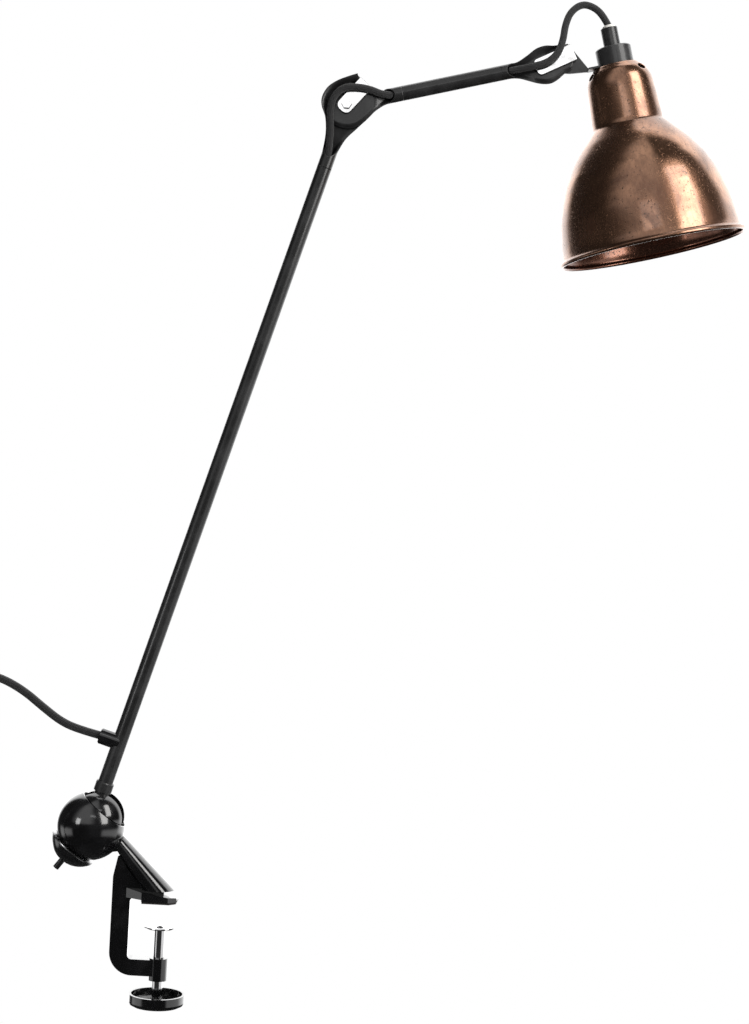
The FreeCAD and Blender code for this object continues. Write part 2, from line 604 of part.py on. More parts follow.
def head_pieces():
    y0 = leaf_gap / 2 + friction_t / 2
    y1 = -y0
    pivot_set("head", head, head_bar_dir, head_bar_back, head_bar_front, head_bar_w,
              y1 - leaf_t - leaf_gap, y0 + leaf_t + 0.01, True)
    side = Vec(math.cos(rad(shade_tilt)), 0, math.sin(rad(shade_tilt)))
    end = cap_foot - side * (strip_reach - 2.5) + shade_axis * ring_t
    plate = rounded([(head.x - bracket_r, head.z - bracket_r * 0.8, 6.0),
                     (head.x + bracket_low[0], head.z + bracket_low[1], 0.6),
                     (end.x, end.z, 0.6), (head.x + bracket_apex[0], head.z + bracket_apex[1], 1.0),
                     (head.x - bracket_r, head.z + bracket_r * 0.8, 6.0)], y0, y0 + leaf_t)
    plate = plate.cut(cyl(Vec(head.x, -20, head.z), Vec(0, 1, 0), pivot_r + 0.02, 40))
    strip = Part.makeBox(strip_reach - holder_r, strip_w, ring_t, Vec(-strip_reach, y0 + leaf_t - strip_w, 0))
    strip = strip.fuse(Part.makeBox(holder_r, strip_w * 0.7, ring_t, Vec(-holder_r - 4, -strip_w * 0.35, 0)))
    strip.rotate(Vec(0, 0, 0), Vec(0, 1, 0), -shade_tilt)
    strip.translate(cap_foot + shade_axis * ring_t)
    ring = cyl(cap_foot, shade_axis, cap_r + 0.6, ring_t)
    bore = cyl(cap_foot + shade_axis * -1, shade_axis, holder_neck_r + holder_clear, ring_t + 2)
    parts["head_bracket"] = plate.fuse([strip, ring]).cut(bore).removeSplitter()
    parts["head_friction_disc"] = pipe(Vec(head.x, y0 - friction_t, head.z), Vec(0, 1, 0),
                                       friction_r - 1.5, pivot_r + bore_clear, friction_t)

    cap = turned([(0, 0), (0, cap_r - 0.8), (0.8, cap_r), (cap_h - 0.01, cap_r), (cap_h - 0.01, cap_r - 1.6),
                  (2.0, cap_r - 1.6), (2.0, 0)], cap_centre, shade_axis)
    passage = cyl(cap_centre - shade_axis * 40, shade_axis, lead_r + 0.05, 50)
    parts["lampholder_cap"] = cap.cut(passage)
    neck = cyl(cap_centre - shade_axis * neck_h, shade_axis, neck_r, neck_h - 0.01)
    neck = neck.cut(passage)
    parts["lampholder_neck"] = neck
    grip_at = cap_centre - shade_axis * (neck_h + grip_h)
    grip = turned([(0, 0), (0, grip_r - 1.4), (grip_h * 0.5, grip_r - 0.2), (grip_h - 0.01, grip_r),
                   (grip_h - 0.01, 0)], grip_at, shade_axis)
    parts["cord_grip"] = grip.cut(passage)
    parts["holder_lead"] = cyl(grip_at + shade_axis * lead_break, shade_axis, lead_r, grip_h + neck_h + 4.8)

    seat = cap_foot + shade_axis * ring_t
    body_top = cap_centre + shade_axis * (cap_h - 3.0)
    holder = cyl(body_top, shade_axis, holder_neck_r, 3.0 + ring_t + 3.0)
    holder = holder.fuse(cyl(seat + shade_axis * (shade_wall + 0.02), shade_axis, holder_r, holder_len))
    holder = holder.cut(cyl(seat + shade_axis * (shade_wall + holder_len - socket_len - 2.0), shade_axis,
                            socket_r + 0.72, socket_len + 6))
    parts["lampholder_body"] = holder.removeSplitter()
    shell_at = seat + shade_axis * (shade_wall + holder_len - socket_len - 0.5)
    parts["socket_shell"] = pipe(shell_at, shade_axis, socket_r + 0.7, socket_r, socket_len)
    contact_at = seat + shade_axis * (shade_wall + holder_len - socket_len - 2.0)
    tongue = turned([(0, 0), (0, 2.4), (0.9, 2.4), (1.5, 1.2), (1.5, 0)], contact_at, shade_axis)
    parts["socket_contact"] = tongue
    parts["shade_ring"] = pipe(seat + shade_axis * (shade_wall + shade_ring_gap), shade_axis,
                               holder_r + 2.0, holder_r + 0.02, 4.5)
    parts["shade"] = shade_solid(seat)


def shade_solid(seat):
    """Spun bell: a flat top, a rounded shoulder, a slightly flaring neck, the bell and a rolled rim."""
    outer = [(0.0, shade_top_r - 2.5)]
    shoulder = [(2.2, 18.6), (5.0, 21.8), (9.5, 23.7), (14.5, shoulder_r)]
    neck = [(31.0, 25.4), (shade_neck_h - 3, neck_foot_r)]
    bell = []
    steps = 12
    for i in range(steps + 1):
        t = i / steps
        s = shade_neck_h - 1.0 + (shade_h - 9.0 - shade_neck_h) * t
        bell.append((s, neck_foot_r + 1.8 + (bell_r - neck_foot_r - 1.8) * math.sin(math.pi / 2 * t ** 0.86)))
    foot = [(shade_h - 4.5, bell_r + 1.2), (shade_h - 1.6, rim_r - 0.4)]
    line = outer + shoulder + neck + bell + foot
    inner = [(s + shade_wall * 0.4, r - shade_wall) for s, r in line]
    inner[0] = (shade_wall, shade_top_r - 3.0)
    hole_r = holder_neck_r + holder_clear
    profile = [(0.0, hole_r)] + line + inner[::-1] + [(shade_wall, hole_r)]
    shell = turned(profile, seat, shade_axis)
    side = Vec(0, 1, 0).cross(shade_axis)
    bead_at = seat + shade_axis * (shade_h - bead_r)
    bead = Part.makeTorus(rim_r - bead_r, bead_r, bead_at, shade_axis)
    shell = shell.fuse(bead).removeSplitter()
    for i in range(vent_count):
        angle = vent_first + i * 360 / vent_count
        hole = Part.makeCylinder(vent_r, 14, seat + shade_axis * 6.3 + side * 13,
                                 side * 0.86 - shade_axis * 0.5)
        hole.rotate(seat, shade_axis, angle)
        shell = shell.cut(hole)
    return shell


# ---- cords ----
# Points of the supply cord from its ferrule to the top of the coil: x, z, y.
supply_points = [(-66.5, 123.6, 0.0), (-80.1, 128.8, -2.0), (-94.0, 139.3, -5.0), (-108.2, 151.2, -9.0),
                 (-124.6, 160.2, -13.0), (-142.0, 164.0, -17.0), (-157.0, 160.0, -19.0),
                 (-168.5, 149.0, -20.0), (-174.6, 134.0, -20.0)]
coil_centre = Vec(-176.0, -20.0, 75.0)
coil_mid_r = 33.0
coil_section_r = 9.0
tail_len = 30.0
plug_len = 34.0
plug_w = 35.0
plug_t = 13.5
pin_r = 2.0
pin_len = 19.0
pin_pitch = 19.0
# The loop from the short arm's head end to the lampholder, from the head pivot: x, z, y.
loop_points = [(-21.179, -6.233, -4.3), (-12.179, -4.633, -7.8), (-1.979, -1.233, -8.4),
               (5.021, 6.167, -8.0), (8.021, 16.167, -6.8), (9.021, 27.167, -5.2),
               (12.621, 37.767, -3.6), (21.221, 44.567, -2.2), (31.021, 42.167, -1.0),
               (37.821, 35.767, -0.3)]


def cord_pieces():
    side = Vec(-arm_dir.z, 0, arm_dir.x)
    start = at_arm(exit_s) + side * (tube_r + ferrule_out)
    coil_top = coil_centre + Vec(0, 0, coil_mid_r + coil_section_r - 1.0)
    route = [start] + [xz(x, z, y) for x, z, y in supply_points] + [coil_top]
    parts["supply_cord"] = cord_tube("supply_cord", route, cord_r)
    parts["cord_coil"] = Part.makeTorus(coil_mid_r, coil_section_r, coil_centre, Vec(0, 1, 0))
    tie_dir = Vec(math.cos(rad(200)), 0, math.sin(rad(200)))
    tie_axis = Vec(-tie_dir.z, 0, tie_dir.x)
    tie_at = coil_centre + tie_dir * coil_mid_r - tie_axis * 4.5
    tie = pipe(tie_at, tie_axis, coil_section_r + 1.5, coil_section_r - 0.6, 9.0)
    parts["coil_tie"] = tie.cut(parts["cord_coil"])
    low = coil_centre - Vec(0, 0, coil_mid_r + coil_section_r - 1.0)
    parts["cord_tail"] = cyl(low - Vec(0, 0, tail_len), up, cord_r, tail_len)
    plug_top = low - Vec(0, 0, tail_len)
    body = Part.makeBox(plug_w, plug_t, plug_len, plug_top + Vec(-plug_w / 2, -plug_t / 2, -plug_len))
    edges = [e for e in body.Edges if abs(e.tangentAt(0).z) > 0.9]
    parts["plug_body"] = body.makeFillet(plug_t * 0.42, edges)
    pins = []
    for x in (-pin_pitch / 2, pin_pitch / 2):
        pins.append(cyl(plug_top + Vec(x, 0, -plug_len - pin_len), up, pin_r, pin_len))
    parts["plug_pins"] = Part.makeCompound(pins)

    offset = Vec(0, -lead_off, 0)
    parts["elbow_cord"] = cord_tube("elbow_cord", elbow_route(), lead_r)
    grip_top = cap_centre - shade_axis * (neck_h + grip_h)
    loop = [head + xz(x, z, y) for x, z, y in loop_points]
    route = [head - short_dir * head_mouth + offset] + loop + [grip_top]
    parts["head_cord"] = cord_tube("head_cord", route, lead_r)


clamp_pieces()
ball_pieces()
lower_arm_pieces()
short_arm_pieces()
head_pieces()
cord_pieces()

os.makedirs("parts", exist_ok=True)
for name, shape in parts.items():
    solids = len(shape.Solids)
    if not shape.isValid() or solids < 1:
        print("CHECK %s: valid %s, solids %d" % (name, shape.isValid(), solids))
    shape.exportStep("parts/%s.step" % name)
print("%d nodes, %d solids" % (len(parts), sum(len(s.Solids) for s in parts.values())))
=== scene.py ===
import json
import math

import bpy
import numpy as np
from mathutils import Matrix, Vector


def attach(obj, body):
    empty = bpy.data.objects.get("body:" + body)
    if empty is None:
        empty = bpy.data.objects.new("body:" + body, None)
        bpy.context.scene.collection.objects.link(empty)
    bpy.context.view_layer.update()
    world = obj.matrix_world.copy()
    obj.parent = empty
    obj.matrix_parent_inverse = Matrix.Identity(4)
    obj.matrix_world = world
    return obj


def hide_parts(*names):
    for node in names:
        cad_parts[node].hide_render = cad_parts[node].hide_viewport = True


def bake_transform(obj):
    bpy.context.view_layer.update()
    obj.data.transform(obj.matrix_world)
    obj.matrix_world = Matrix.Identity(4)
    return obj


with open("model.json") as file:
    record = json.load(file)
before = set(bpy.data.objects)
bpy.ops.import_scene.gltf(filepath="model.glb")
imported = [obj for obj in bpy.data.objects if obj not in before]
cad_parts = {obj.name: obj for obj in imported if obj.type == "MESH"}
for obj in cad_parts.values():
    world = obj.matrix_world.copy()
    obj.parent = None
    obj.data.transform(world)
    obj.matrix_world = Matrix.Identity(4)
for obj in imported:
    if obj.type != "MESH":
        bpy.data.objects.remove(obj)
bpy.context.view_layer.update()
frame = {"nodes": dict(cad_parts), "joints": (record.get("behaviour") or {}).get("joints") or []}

nodes = frame["nodes"]
joint = {j["name"]: j for j in frame["joints"]}
MM = 0.001
tau = 2 * math.pi


# ---------------------------------------------------------------- places taken from the frame
def unit(v):
    v = np.asarray(v, float)
    return v / np.linalg.norm(v)


def steer(degrees):
    """Unit vector in the XZ plane, degrees above +X."""
    return np.array([math.cos(math.radians(degrees)), 0.0, math.sin(math.radians(degrees))])


Y = np.array([0.0, 1.0, 0.0])
ball = np.array(joint["base_swivel"]["pos_m"])
elbow = np.array(joint["elbow"]["pos_m"])
head = np.array(joint["head_tilt"]["pos_m"])
arm_way = unit(elbow - ball)
short_way = unit(head - elbow)
shade_tilt = 14.3
shade_down = np.array([math.sin(math.radians(shade_tilt)), 0, -math.cos(math.radians(shade_tilt))])
shade_top = np.array([0.303358, 0.0, 0.633834])

# sizes shared with the frame, in millimetres
tube_r = 5.5
sheet_t = 1.2              # pressed ends of the arms
bar_front, bar_back = -4.4, -2.7
lead_off = 1.8             # the leads lie this far towards the front in the tubes


# ---------------------------------------------------------------- camera
def place_camera():
    """Level camera 1.5 m in front of the lamp, rolled three degrees."""
    data = bpy.data.cameras.new("camera")
    data.lens = 71.33
    data.sensor_width = 36.0
    data.clip_start = 0.05
    data.clip_end = 50
    cam = bpy.data.objects.new("camera", data)
    roll = math.radians(3.0)
    right = Vector((math.cos(roll), 0, math.sin(roll)))
    top = Vector((-math.sin(roll), 0, math.cos(roll)))
    back = Vector((0, -1, 0))
    turn = Matrix((right, top, back)).transposed()
    cam.matrix_world = Matrix.Translation((0.1421, -1.4994, 0.2957)) @ turn.to_4x4()
    bpy.context.scene.collection.objects.link(cam)
    bpy.context.scene.camera = cam


# ---------------------------------------------------------------- mesh helpers
def mesh_object(name, verts, faces, uv=None, smooth=True):
    """Object from an (n, 3) array and a face array; uv is one pair for each face corner."""
    mesh = bpy.data.meshes.new(name)
    faces = [tuple(int(i) for i in f) for f in faces]
    mesh.from_pydata(np.asarray(verts, float).tolist(), [], faces)
    if uv is not None:
        layer = mesh.uv_layers.new(name="UVMap")
        layer.data.foreach_set("uv", np.asarray(uv, float).ravel())
    mesh.polygons.foreach_set("use_smooth", [smooth] * len(mesh.polygons))
    mesh.update()
    obj = bpy.data.objects.new(name, mesh)
    bpy.context.scene.collection.objects.link(obj)
    return obj


def grid_faces(rows, cols, wrap_rows=False, wrap_cols=True):
    """Quads of a rows x cols grid, row index along the path and column index round it."""
    i = np.arange(rows if wrap_rows else rows - 1)
    j = np.arange(cols if wrap_cols else cols - 1)
    i, j = np.meshgrid(i, j, indexing="ij")
    i2 = (i + 1) % rows
    j2 = (j + 1) % cols
    return np.stack([i * cols + j, i * cols + j2, i2 * cols + j2, i2 * cols + j], -1).reshape(-1, 4)


def axis_frame(axis):
    """Two unit vectors that make a right-handed set with axis."""
    axis = unit(axis)
    side = unit(np.cross(Y, axis)) if abs(axis[1]) < 0.9 else np.array([1.0, 0, 0])
    return axis, side, np.cross(axis, side)


def rounded_line(points, step=0.6):
    """Outline through (x, y, corner radius) points, with each corner as an arc of a few points."""
    out = []
    count = len(points)
    for k, (x, y, r) in enumerate(points):
        here = np.array([x, y])
        if r <= 0:
            out.append(here)
            continue
        before = np.array(points[k - 1][:2])
        after = np.array(points[(k + 1) % count][:2])
        u, w = unit(before - here), unit(after - here)
        half = math.acos(np.clip(np.dot(u, w), -1, 1)) / 2
        trim = r / math.tan(half)
        centre = here + unit(u + w) * (r / math.sin(half))
        a, b = here + u * trim - centre, here + w * trim - centre
        turn = math.pi - 2 * half
        pieces = max(5, int(math.ceil(abs(turn) * r / step)))
        for t in np.linspace(0, 1, pieces + 1):
            swing = math.sin((1 - t) * turn) / math.sin(turn), math.sin(t * turn) / math.sin(turn)
            out.append(centre + a * swing[0] + b * swing[1])
    return np.array(out)


def carried_frames(path):
    """Two side vectors at each point of a path, carried along it without twist."""
    path = np.asarray(path, float)
    tangent = np.gradient(path, axis=0)
    tangent /= np.linalg.norm(tangent, axis=1)[:, None]
    side = np.zeros_like(path)
    first = np.cross(tangent[0], Y)
    if np.linalg.norm(first) < 0.2:
        first = np.cross(tangent[0], [1.0, 0, 0])
    side[0] = unit(first)
    for k in range(1, len(path)):
        v = side[k - 1] - tangent[k] * np.dot(side[k - 1], tangent[k])
        side[k] = unit(v)
    return side, np.cross(tangent, side)


def spline_points(name, points, step):
    """Points evenly spaced along the smooth NURBS line that the route's points control."""
    curve = bpy.data.curves.new(name + "_route", "CURVE")
    curve.dimensions = "3D"
    curve.resolution_u = 24
    line = curve.splines.new("NURBS")
    line.points.add(len(points) - 1)
    for slot, p in zip(line.points, points):
        slot.co = (p[0], p[1], p[2], 1)
    line.order_u = 3
    line.use_endpoint_u = True
    obj = bpy.data.objects.new(name + "_route", curve)
    mesh = bpy.data.meshes.new_from_object(obj)
    co = np.zeros(len(mesh.vertices) * 3)
    mesh.vertices.foreach_get("co", co)
    co = co.reshape(-1, 3)
    bpy.data.objects.remove(obj)
    bpy.data.curves.remove(curve)
    bpy.data.meshes.remove(mesh)
    run = np.r_[0, np.cumsum(np.linalg.norm(np.diff(co, axis=0), axis=1))]
    at = np.linspace(0, run[-1], max(4, int(round(run[-1] / step)) + 1))
    return np.stack([np.interp(at, run, co[:, k]) for k in range(3)], 1)


def braid_tube(name, path, radius, count=20):
    """Round tube along the path, radius constant; its UV map holds metres along and round."""
    side, other = carried_frames(path)
    angle = np.arange(count) * tau / count
    ring = np.cos(angle)[None, :, None] * side[:, None] + np.sin(angle)[None, :, None] * other[:, None]
    verts = path[:, None] + ring * radius
    rows = len(path)
    verts = np.concatenate([verts.reshape(-1, 3), path[:1], path[-1:]])
    quads = grid_faces(rows, count)
    run = np.r_[0, np.cumsum(np.linalg.norm(np.diff(path, axis=0), axis=1))]
    i = quads // count
    j = quads % count
    round_at = angle[j]
    round_at = np.where((j == 0) & (quads[:, 1:2] % count == 0), tau, round_at)
    uv = np.stack([run[i], round_at * radius], -1).reshape(-1, 2)
    cap_a = [(rows * count, (k + 1) % count, k) for k in range(count)]
    last = (rows - 1) * count
    cap_b = [(rows * count + 1, last + k, last + (k + 1) % count) for k in range(count)]
    uv = np.concatenate([uv, np.zeros((len(cap_a) * 6, 2))])
    faces = [tuple(q) for q in quads] + cap_a + cap_b
    return mesh_object(name, verts, faces, uv)


# ---------------------------------------------------------------- shader groups and materials
def new_group(name, inputs, outputs):
    """Empty shader group with named sockets: (name, kind, default) each."""
    group = bpy.data.node_groups.new(name, "ShaderNodeTree")
    for label, kind, value in inputs:
        socket = group.interface.new_socket(label, in_out="INPUT", socket_type=kind)
        if value is not None:
            socket.default_value = value
    for label, kind in outputs:
        group.interface.new_socket(label, in_out="OUTPUT", socket_type=kind)
    return group, group.nodes.new("NodeGroupInput"), group.nodes.new("NodeGroupOutput")


def maths(tree, operation, a, b=None, clamp=False):
    made = tree.nodes.new("ShaderNodeMath")
    made.operation = operation
    made.use_clamp = clamp
    for slot, value in zip(made.inputs, (a, b)):
        if value is None:
            continue
        if isinstance(value, (int, float)):
            slot.default_value = value
        else:
            tree.links.new(value, slot)
    return made.outputs[0]


def ramp(tree, value, low, high, curve="LINEAR"):
    """Value mapped from low..high to 0..1, clamped."""
    made = tree.nodes.new("ShaderNodeMapRange")
    made.interpolation_type = curve
    made.inputs["From Min"].default_value = low
    made.inputs["From Max"].default_value = high
    tree.links.new(value, made.inputs["Value"])
    return made.outputs["Result"]


def noise(tree, vector, scale, detail=4.0, rough=0.55, distortion=0.0):
    made = tree.nodes.new("ShaderNodeTexNoise")
    made.inputs["Scale"].default_value = scale
    made.inputs["Detail"].default_value = detail
    made.inputs["Roughness"].default_value = rough
    made.inputs["Distortion"].default_value = distortion
    tree.links.new(vector, made.inputs["Vector"])
    return made.outputs["Fac"]


def mix(tree, factor, a, b):
    """Colour a to colour b by factor; each is a socket or an RGB triple."""
    made = tree.nodes.new("ShaderNodeMix")
    made.data_type = "RGBA"
    for slot, value in ((made.inputs[0], factor), (made.inputs[6], a), (made.inputs[7], b)):
        if isinstance(value, (int, float)):
            slot.default_value = value
        elif isinstance(value, (tuple, list)):
            slot.default_value = (*value, 1.0)
        else:
            tree.links.new(value, slot)
    return made.outputs[2]


def build_enamel_group():
    """Paint film: slow lumps, fine orange peel, faint dust specks and rubbed patches."""
    group, gin, gout = new_group(
        "enamel_film",
        [("Vector", "NodeSocketVector", None), ("Lump Scale", "NodeSocketFloat", 60.0),
         ("Peel Scale", "NodeSocketFloat", 900.0), ("Dust", "NodeSocketFloat", 0.1)],
        [("Height", "NodeSocketFloat"), ("Rubbed", "NodeSocketFloat"), ("Dust", "NodeSocketFloat")])
    vec = gin.outputs["Vector"]
    lump = noise(group, vec, 60.0, 2.0)
    group.links.new(gin.outputs["Lump Scale"], lump.node.inputs["Scale"])
    peel = noise(group, vec, 900.0, 2.0)
    group.links.new(gin.outputs["Peel Scale"], peel.node.inputs["Scale"])
    height = maths(group, "ADD", maths(group, "MULTIPLY", lump, 0.7), maths(group, "MULTIPLY", peel, 0.3))
    rubbed = ramp(group, noise(group, vec, 38.0, 5.0, 0.6, 0.4), 0.44, 0.7)
    specks = ramp(group, noise(group, vec, 2600.0, 2.0), 0.68, 0.8)
    dust = maths(group, "MULTIPLY", specks, gin.outputs["Dust"])
    group.links.new(height, gout.inputs["Height"])
    group.links.new(rubbed, gout.inputs["Rubbed"])
    group.links.new(dust, gout.inputs["Dust"])
    return group


def build_scratch_group():
    """Fine hairlines: a noise drawn out along one axis, and the same turned, in broken patches."""
    group, gin, gout = new_group(
        "hairlines", [("Vector", "NodeSocketVector", None), ("Density", "NodeSocketFloat", 1.0)],
        [("Lines", "NodeSocketFloat"), ("Height", "NodeSocketFloat")])
    total = None
    for turn, stretch in (((0.3, 0.5, 0.2), (4000, 60, 60)), ((0.9, -0.4, 1.1), (50, 3600, 50))):
        place = group.nodes.new("ShaderNodeMapping")
        place.inputs["Rotation"].default_value = turn
        place.inputs["Scale"].default_value = stretch
        group.links.new(gin.outputs["Vector"], place.inputs["Vector"])
        line = ramp(group, noise(group, place.outputs[0], 1.0, 2.0, 0.5), 0.6, 0.72)
        total = line if total is None else maths(group, "MAXIMUM", total, line)
    patch = ramp(group, noise(group, gin.outputs["Vector"], 90.0, 3.0), 0.4, 0.65)
    lines = maths(group, "MULTIPLY", maths(group, "MULTIPLY", total, patch), gin.outputs["Density"], True)
    group.links.new(lines, gout.inputs["Lines"])
    group.links.new(maths(group, "SUBTRACT", 1.0, lines), gout.inputs["Height"])
    return group


def build_braid_group():
    """Two sets of strands wound opposite ways round a cord; UV holds metres along and metres round. The
    gap output is painted shade, dark where the strands dip between each other.
    """
    group, gin, gout = new_group(
        "textile_braid",
        [("UV", "NodeSocketVector", None), ("Round", "NodeSocketFloat", 0.0188),
         ("Strands", "NodeSocketFloat", 12.0), ("Pitch", "NodeSocketFloat", 0.011)],
        [("Height", "NodeSocketFloat"), ("Gap Shade", "NodeSocketFloat"), ("Thread", "NodeSocketFloat")])
    split = group.nodes.new("ShaderNodeSeparateXYZ")
    group.links.new(gin.outputs["UV"], split.inputs[0])
    along = maths(group, "DIVIDE", split.outputs[0], gin.outputs["Pitch"])
    turn = maths(group, "DIVIDE", split.outputs[1], gin.outputs["Round"])
    waves = []
    for sign in ("ADD", "SUBTRACT"):
        phase = maths(group, "MULTIPLY", maths(group, sign, turn, along), gin.outputs["Strands"])
        phase = maths(group, "MULTIPLY", phase, math.pi)
        waves.append(maths(group, "ABSOLUTE", maths(group, "SINE", phase)))
    crossing = maths(group, "MULTIPLY", along, gin.outputs["Strands"])
    over = maths(group, "SINE", maths(group, "MULTIPLY", crossing, tau))
    pick = ramp(group, over, -0.3, 0.3, "SMOOTHSTEP")
    low = maths(group, "MULTIPLY", waves[0], maths(group, "SUBTRACT", 1.0, pick))
    height = maths(group, "ADD", low, maths(group, "MULTIPLY", waves[1], pick))
    thread_phase = maths(group, "MULTIPLY", maths(group, "ADD", turn, along), gin.outputs["Strands"])
    thread = maths(group, "SINE", maths(group, "MULTIPLY", thread_phase, tau * 3))
    group.links.new(height, gout.inputs["Height"])
    # painted shade: the gaps between strands darken as the braid's height falls towards zero
    group.links.new(ramp(group, height, 0.35, 0.0), gout.inputs["Gap Shade"])
    group.links.new(maths(group, "MULTIPLY", maths(group, "ADD", thread, 1.0), 0.5), gout.inputs["Thread"])
    return group


enamel_film = build_enamel_group()
hairlines = build_scratch_group()
textile_braid = build_braid_group()


def blank(name):
    """New material, with its shader and its texture coordinates."""
    mat = bpy.data.materials.new(name)
    mat.use_nodes = True
    tree = mat.node_tree
    shader = tree.nodes["Principled BSDF"]
    place = tree.nodes.new("ShaderNodeTexCoord")
    return mat, tree, shader, place


def use_group(tree, group, **values):
    made = tree.nodes.new("ShaderNodeGroup")
    made.node_tree = group
    for key, value in values.items():
        made.inputs[key.replace("_", " ")].default_value = value
    return made


def bump(tree, shader, height, strength, distance):
    made = tree.nodes.new("ShaderNodeBump")
    made.inputs["Strength"].default_value = strength
    made.inputs["Distance"].default_value = distance
    tree.links.new(height, made.inputs["Height"])
    tree.links.new(made.outputs["Normal"], shader.inputs["Normal"])
    return made


def enamel(name, colour, rough, rough_rubbed, coat, lump, peel, depth, dust=0.015):
    """Paint on metal: lump and peel are the scales of its relief, depth the relief in metres."""
    mat, tree, shader, place = blank(name)
    film = use_group(tree, enamel_film, Lump_Scale=lump, Peel_Scale=peel, Dust=dust)
    tree.links.new(place.outputs["Object"], film.inputs["Vector"])
    pale = tuple(min(1.0, c * 2.2 + 0.006) for c in colour)
    worn = mix(tree, film.outputs["Rubbed"], colour, pale)
    dusty = mix(tree, film.outputs["Dust"], worn, (0.35, 0.34, 0.33))
    tree.links.new(dusty, shader.inputs["Base Color"])
    rough_map = tree.nodes.new("ShaderNodeMapRange")
    rough_map.inputs["To Min"].default_value = rough
    rough_map.inputs["To Max"].default_value = rough_rubbed
    tree.links.new(film.outputs["Rubbed"], rough_map.inputs["Value"])
    tree.links.new(rough_map.outputs[0], shader.inputs["Roughness"])
    shader.inputs["Coat Weight"].default_value = coat
    shader.inputs["Coat Roughness"].default_value = 0.08
    bump(tree, shader, film.outputs["Height"], 1.0, depth)
    return mat


def bright_metal(name, colour, rough, density, tint=(0.55, 0.53, 0.5)):
    mat, tree, shader, place = blank(name)
    lines = use_group(tree, hairlines, Density=density)
    tree.links.new(place.outputs["Object"], lines.inputs["Vector"])
    cloud = ramp(tree, noise(tree, place.outputs["Object"], 140.0, 5.0, 0.6), 0.35, 0.7)
    tone = mix(tree, maths(tree, "MULTIPLY", cloud, 0.35), colour, tint)
    tree.links.new(tone, shader.inputs["Base Color"])
    total = maths(tree, "ADD", maths(tree, "MULTIPLY", lines.outputs["Lines"], 0.22),
                  maths(tree, "MULTIPLY", cloud, 0.08))
    tree.links.new(maths(tree, "ADD", total, rough), shader.inputs["Roughness"])
    shader.inputs["Metallic"].default_value = 1.0
    bump(tree, shader, lines.outputs["Height"], 0.25, 0.00003)
    return mat


def plastic(name, colour, rough, grain, depth):
    mat, tree, shader, place = blank(name)
    fine = noise(tree, place.outputs["Object"], grain, 3.0)
    cloud = noise(tree, place.outputs["Object"], 45.0, 3.0)
    pale = tuple(c * 1.5 + 0.004 for c in colour)
    tree.links.new(mix(tree, ramp(tree, cloud, 0.4, 0.7), colour, pale), shader.inputs["Base Color"])
    uneven = maths(tree, "ADD", maths(tree, "MULTIPLY", fine, 0.12), rough)
    tree.links.new(uneven, shader.inputs["Roughness"])
    bump(tree, shader, fine, 0.5, depth)
    return mat


def leather(name):
    mat, tree, shader, place = blank(name)
    cells = tree.nodes.new("ShaderNodeTexVoronoi")
    cells.feature = "DISTANCE_TO_EDGE"
    cells.inputs["Scale"].default_value = 900.0
    tree.links.new(place.outputs["Object"], cells.inputs["Vector"])
    # the cells' edges sink as creases in the bump and are also painted darker there: painted shade in the
    # creases
    crease_depth_and_shade = ramp(tree, cells.outputs["Distance"], 0.0, 0.12)
    hide = mix(tree, crease_depth_and_shade, (0.008, 0.007, 0.006), (0.03, 0.026, 0.023))
    tree.links.new(hide, shader.inputs["Base Color"])
    shader.inputs["Roughness"].default_value = 0.62
    bump(tree, shader, crease_depth_and_shade, 0.6, 0.0001)
    return mat


def braided(name, radius, strands, pitch):
    mat, tree, shader, place = blank(name)
    weave = use_group(tree, textile_braid, Round=tau * radius, Strands=float(strands), Pitch=pitch)
    tree.links.new(place.outputs["UV"], weave.inputs["UV"])
    thread = mix(tree, weave.outputs["Thread"], (0.010, 0.010, 0.011), (0.030, 0.030, 0.032))
    # painted shade: near black in the gaps between the strands
    cloth = mix(tree, weave.outputs["Gap Shade"], thread, (0.002, 0.002, 0.002))
    tree.links.new(cloth, shader.inputs["Base Color"])
    shader.inputs["Roughness"].default_value = 0.72
    shader.inputs["Sheen Weight"].default_value = 0.25
    shader.inputs["Sheen Roughness"].default_value = 0.5
    bump(tree, shader, weave.outputs["Height"], 0.9, 0.0004)
    return mat


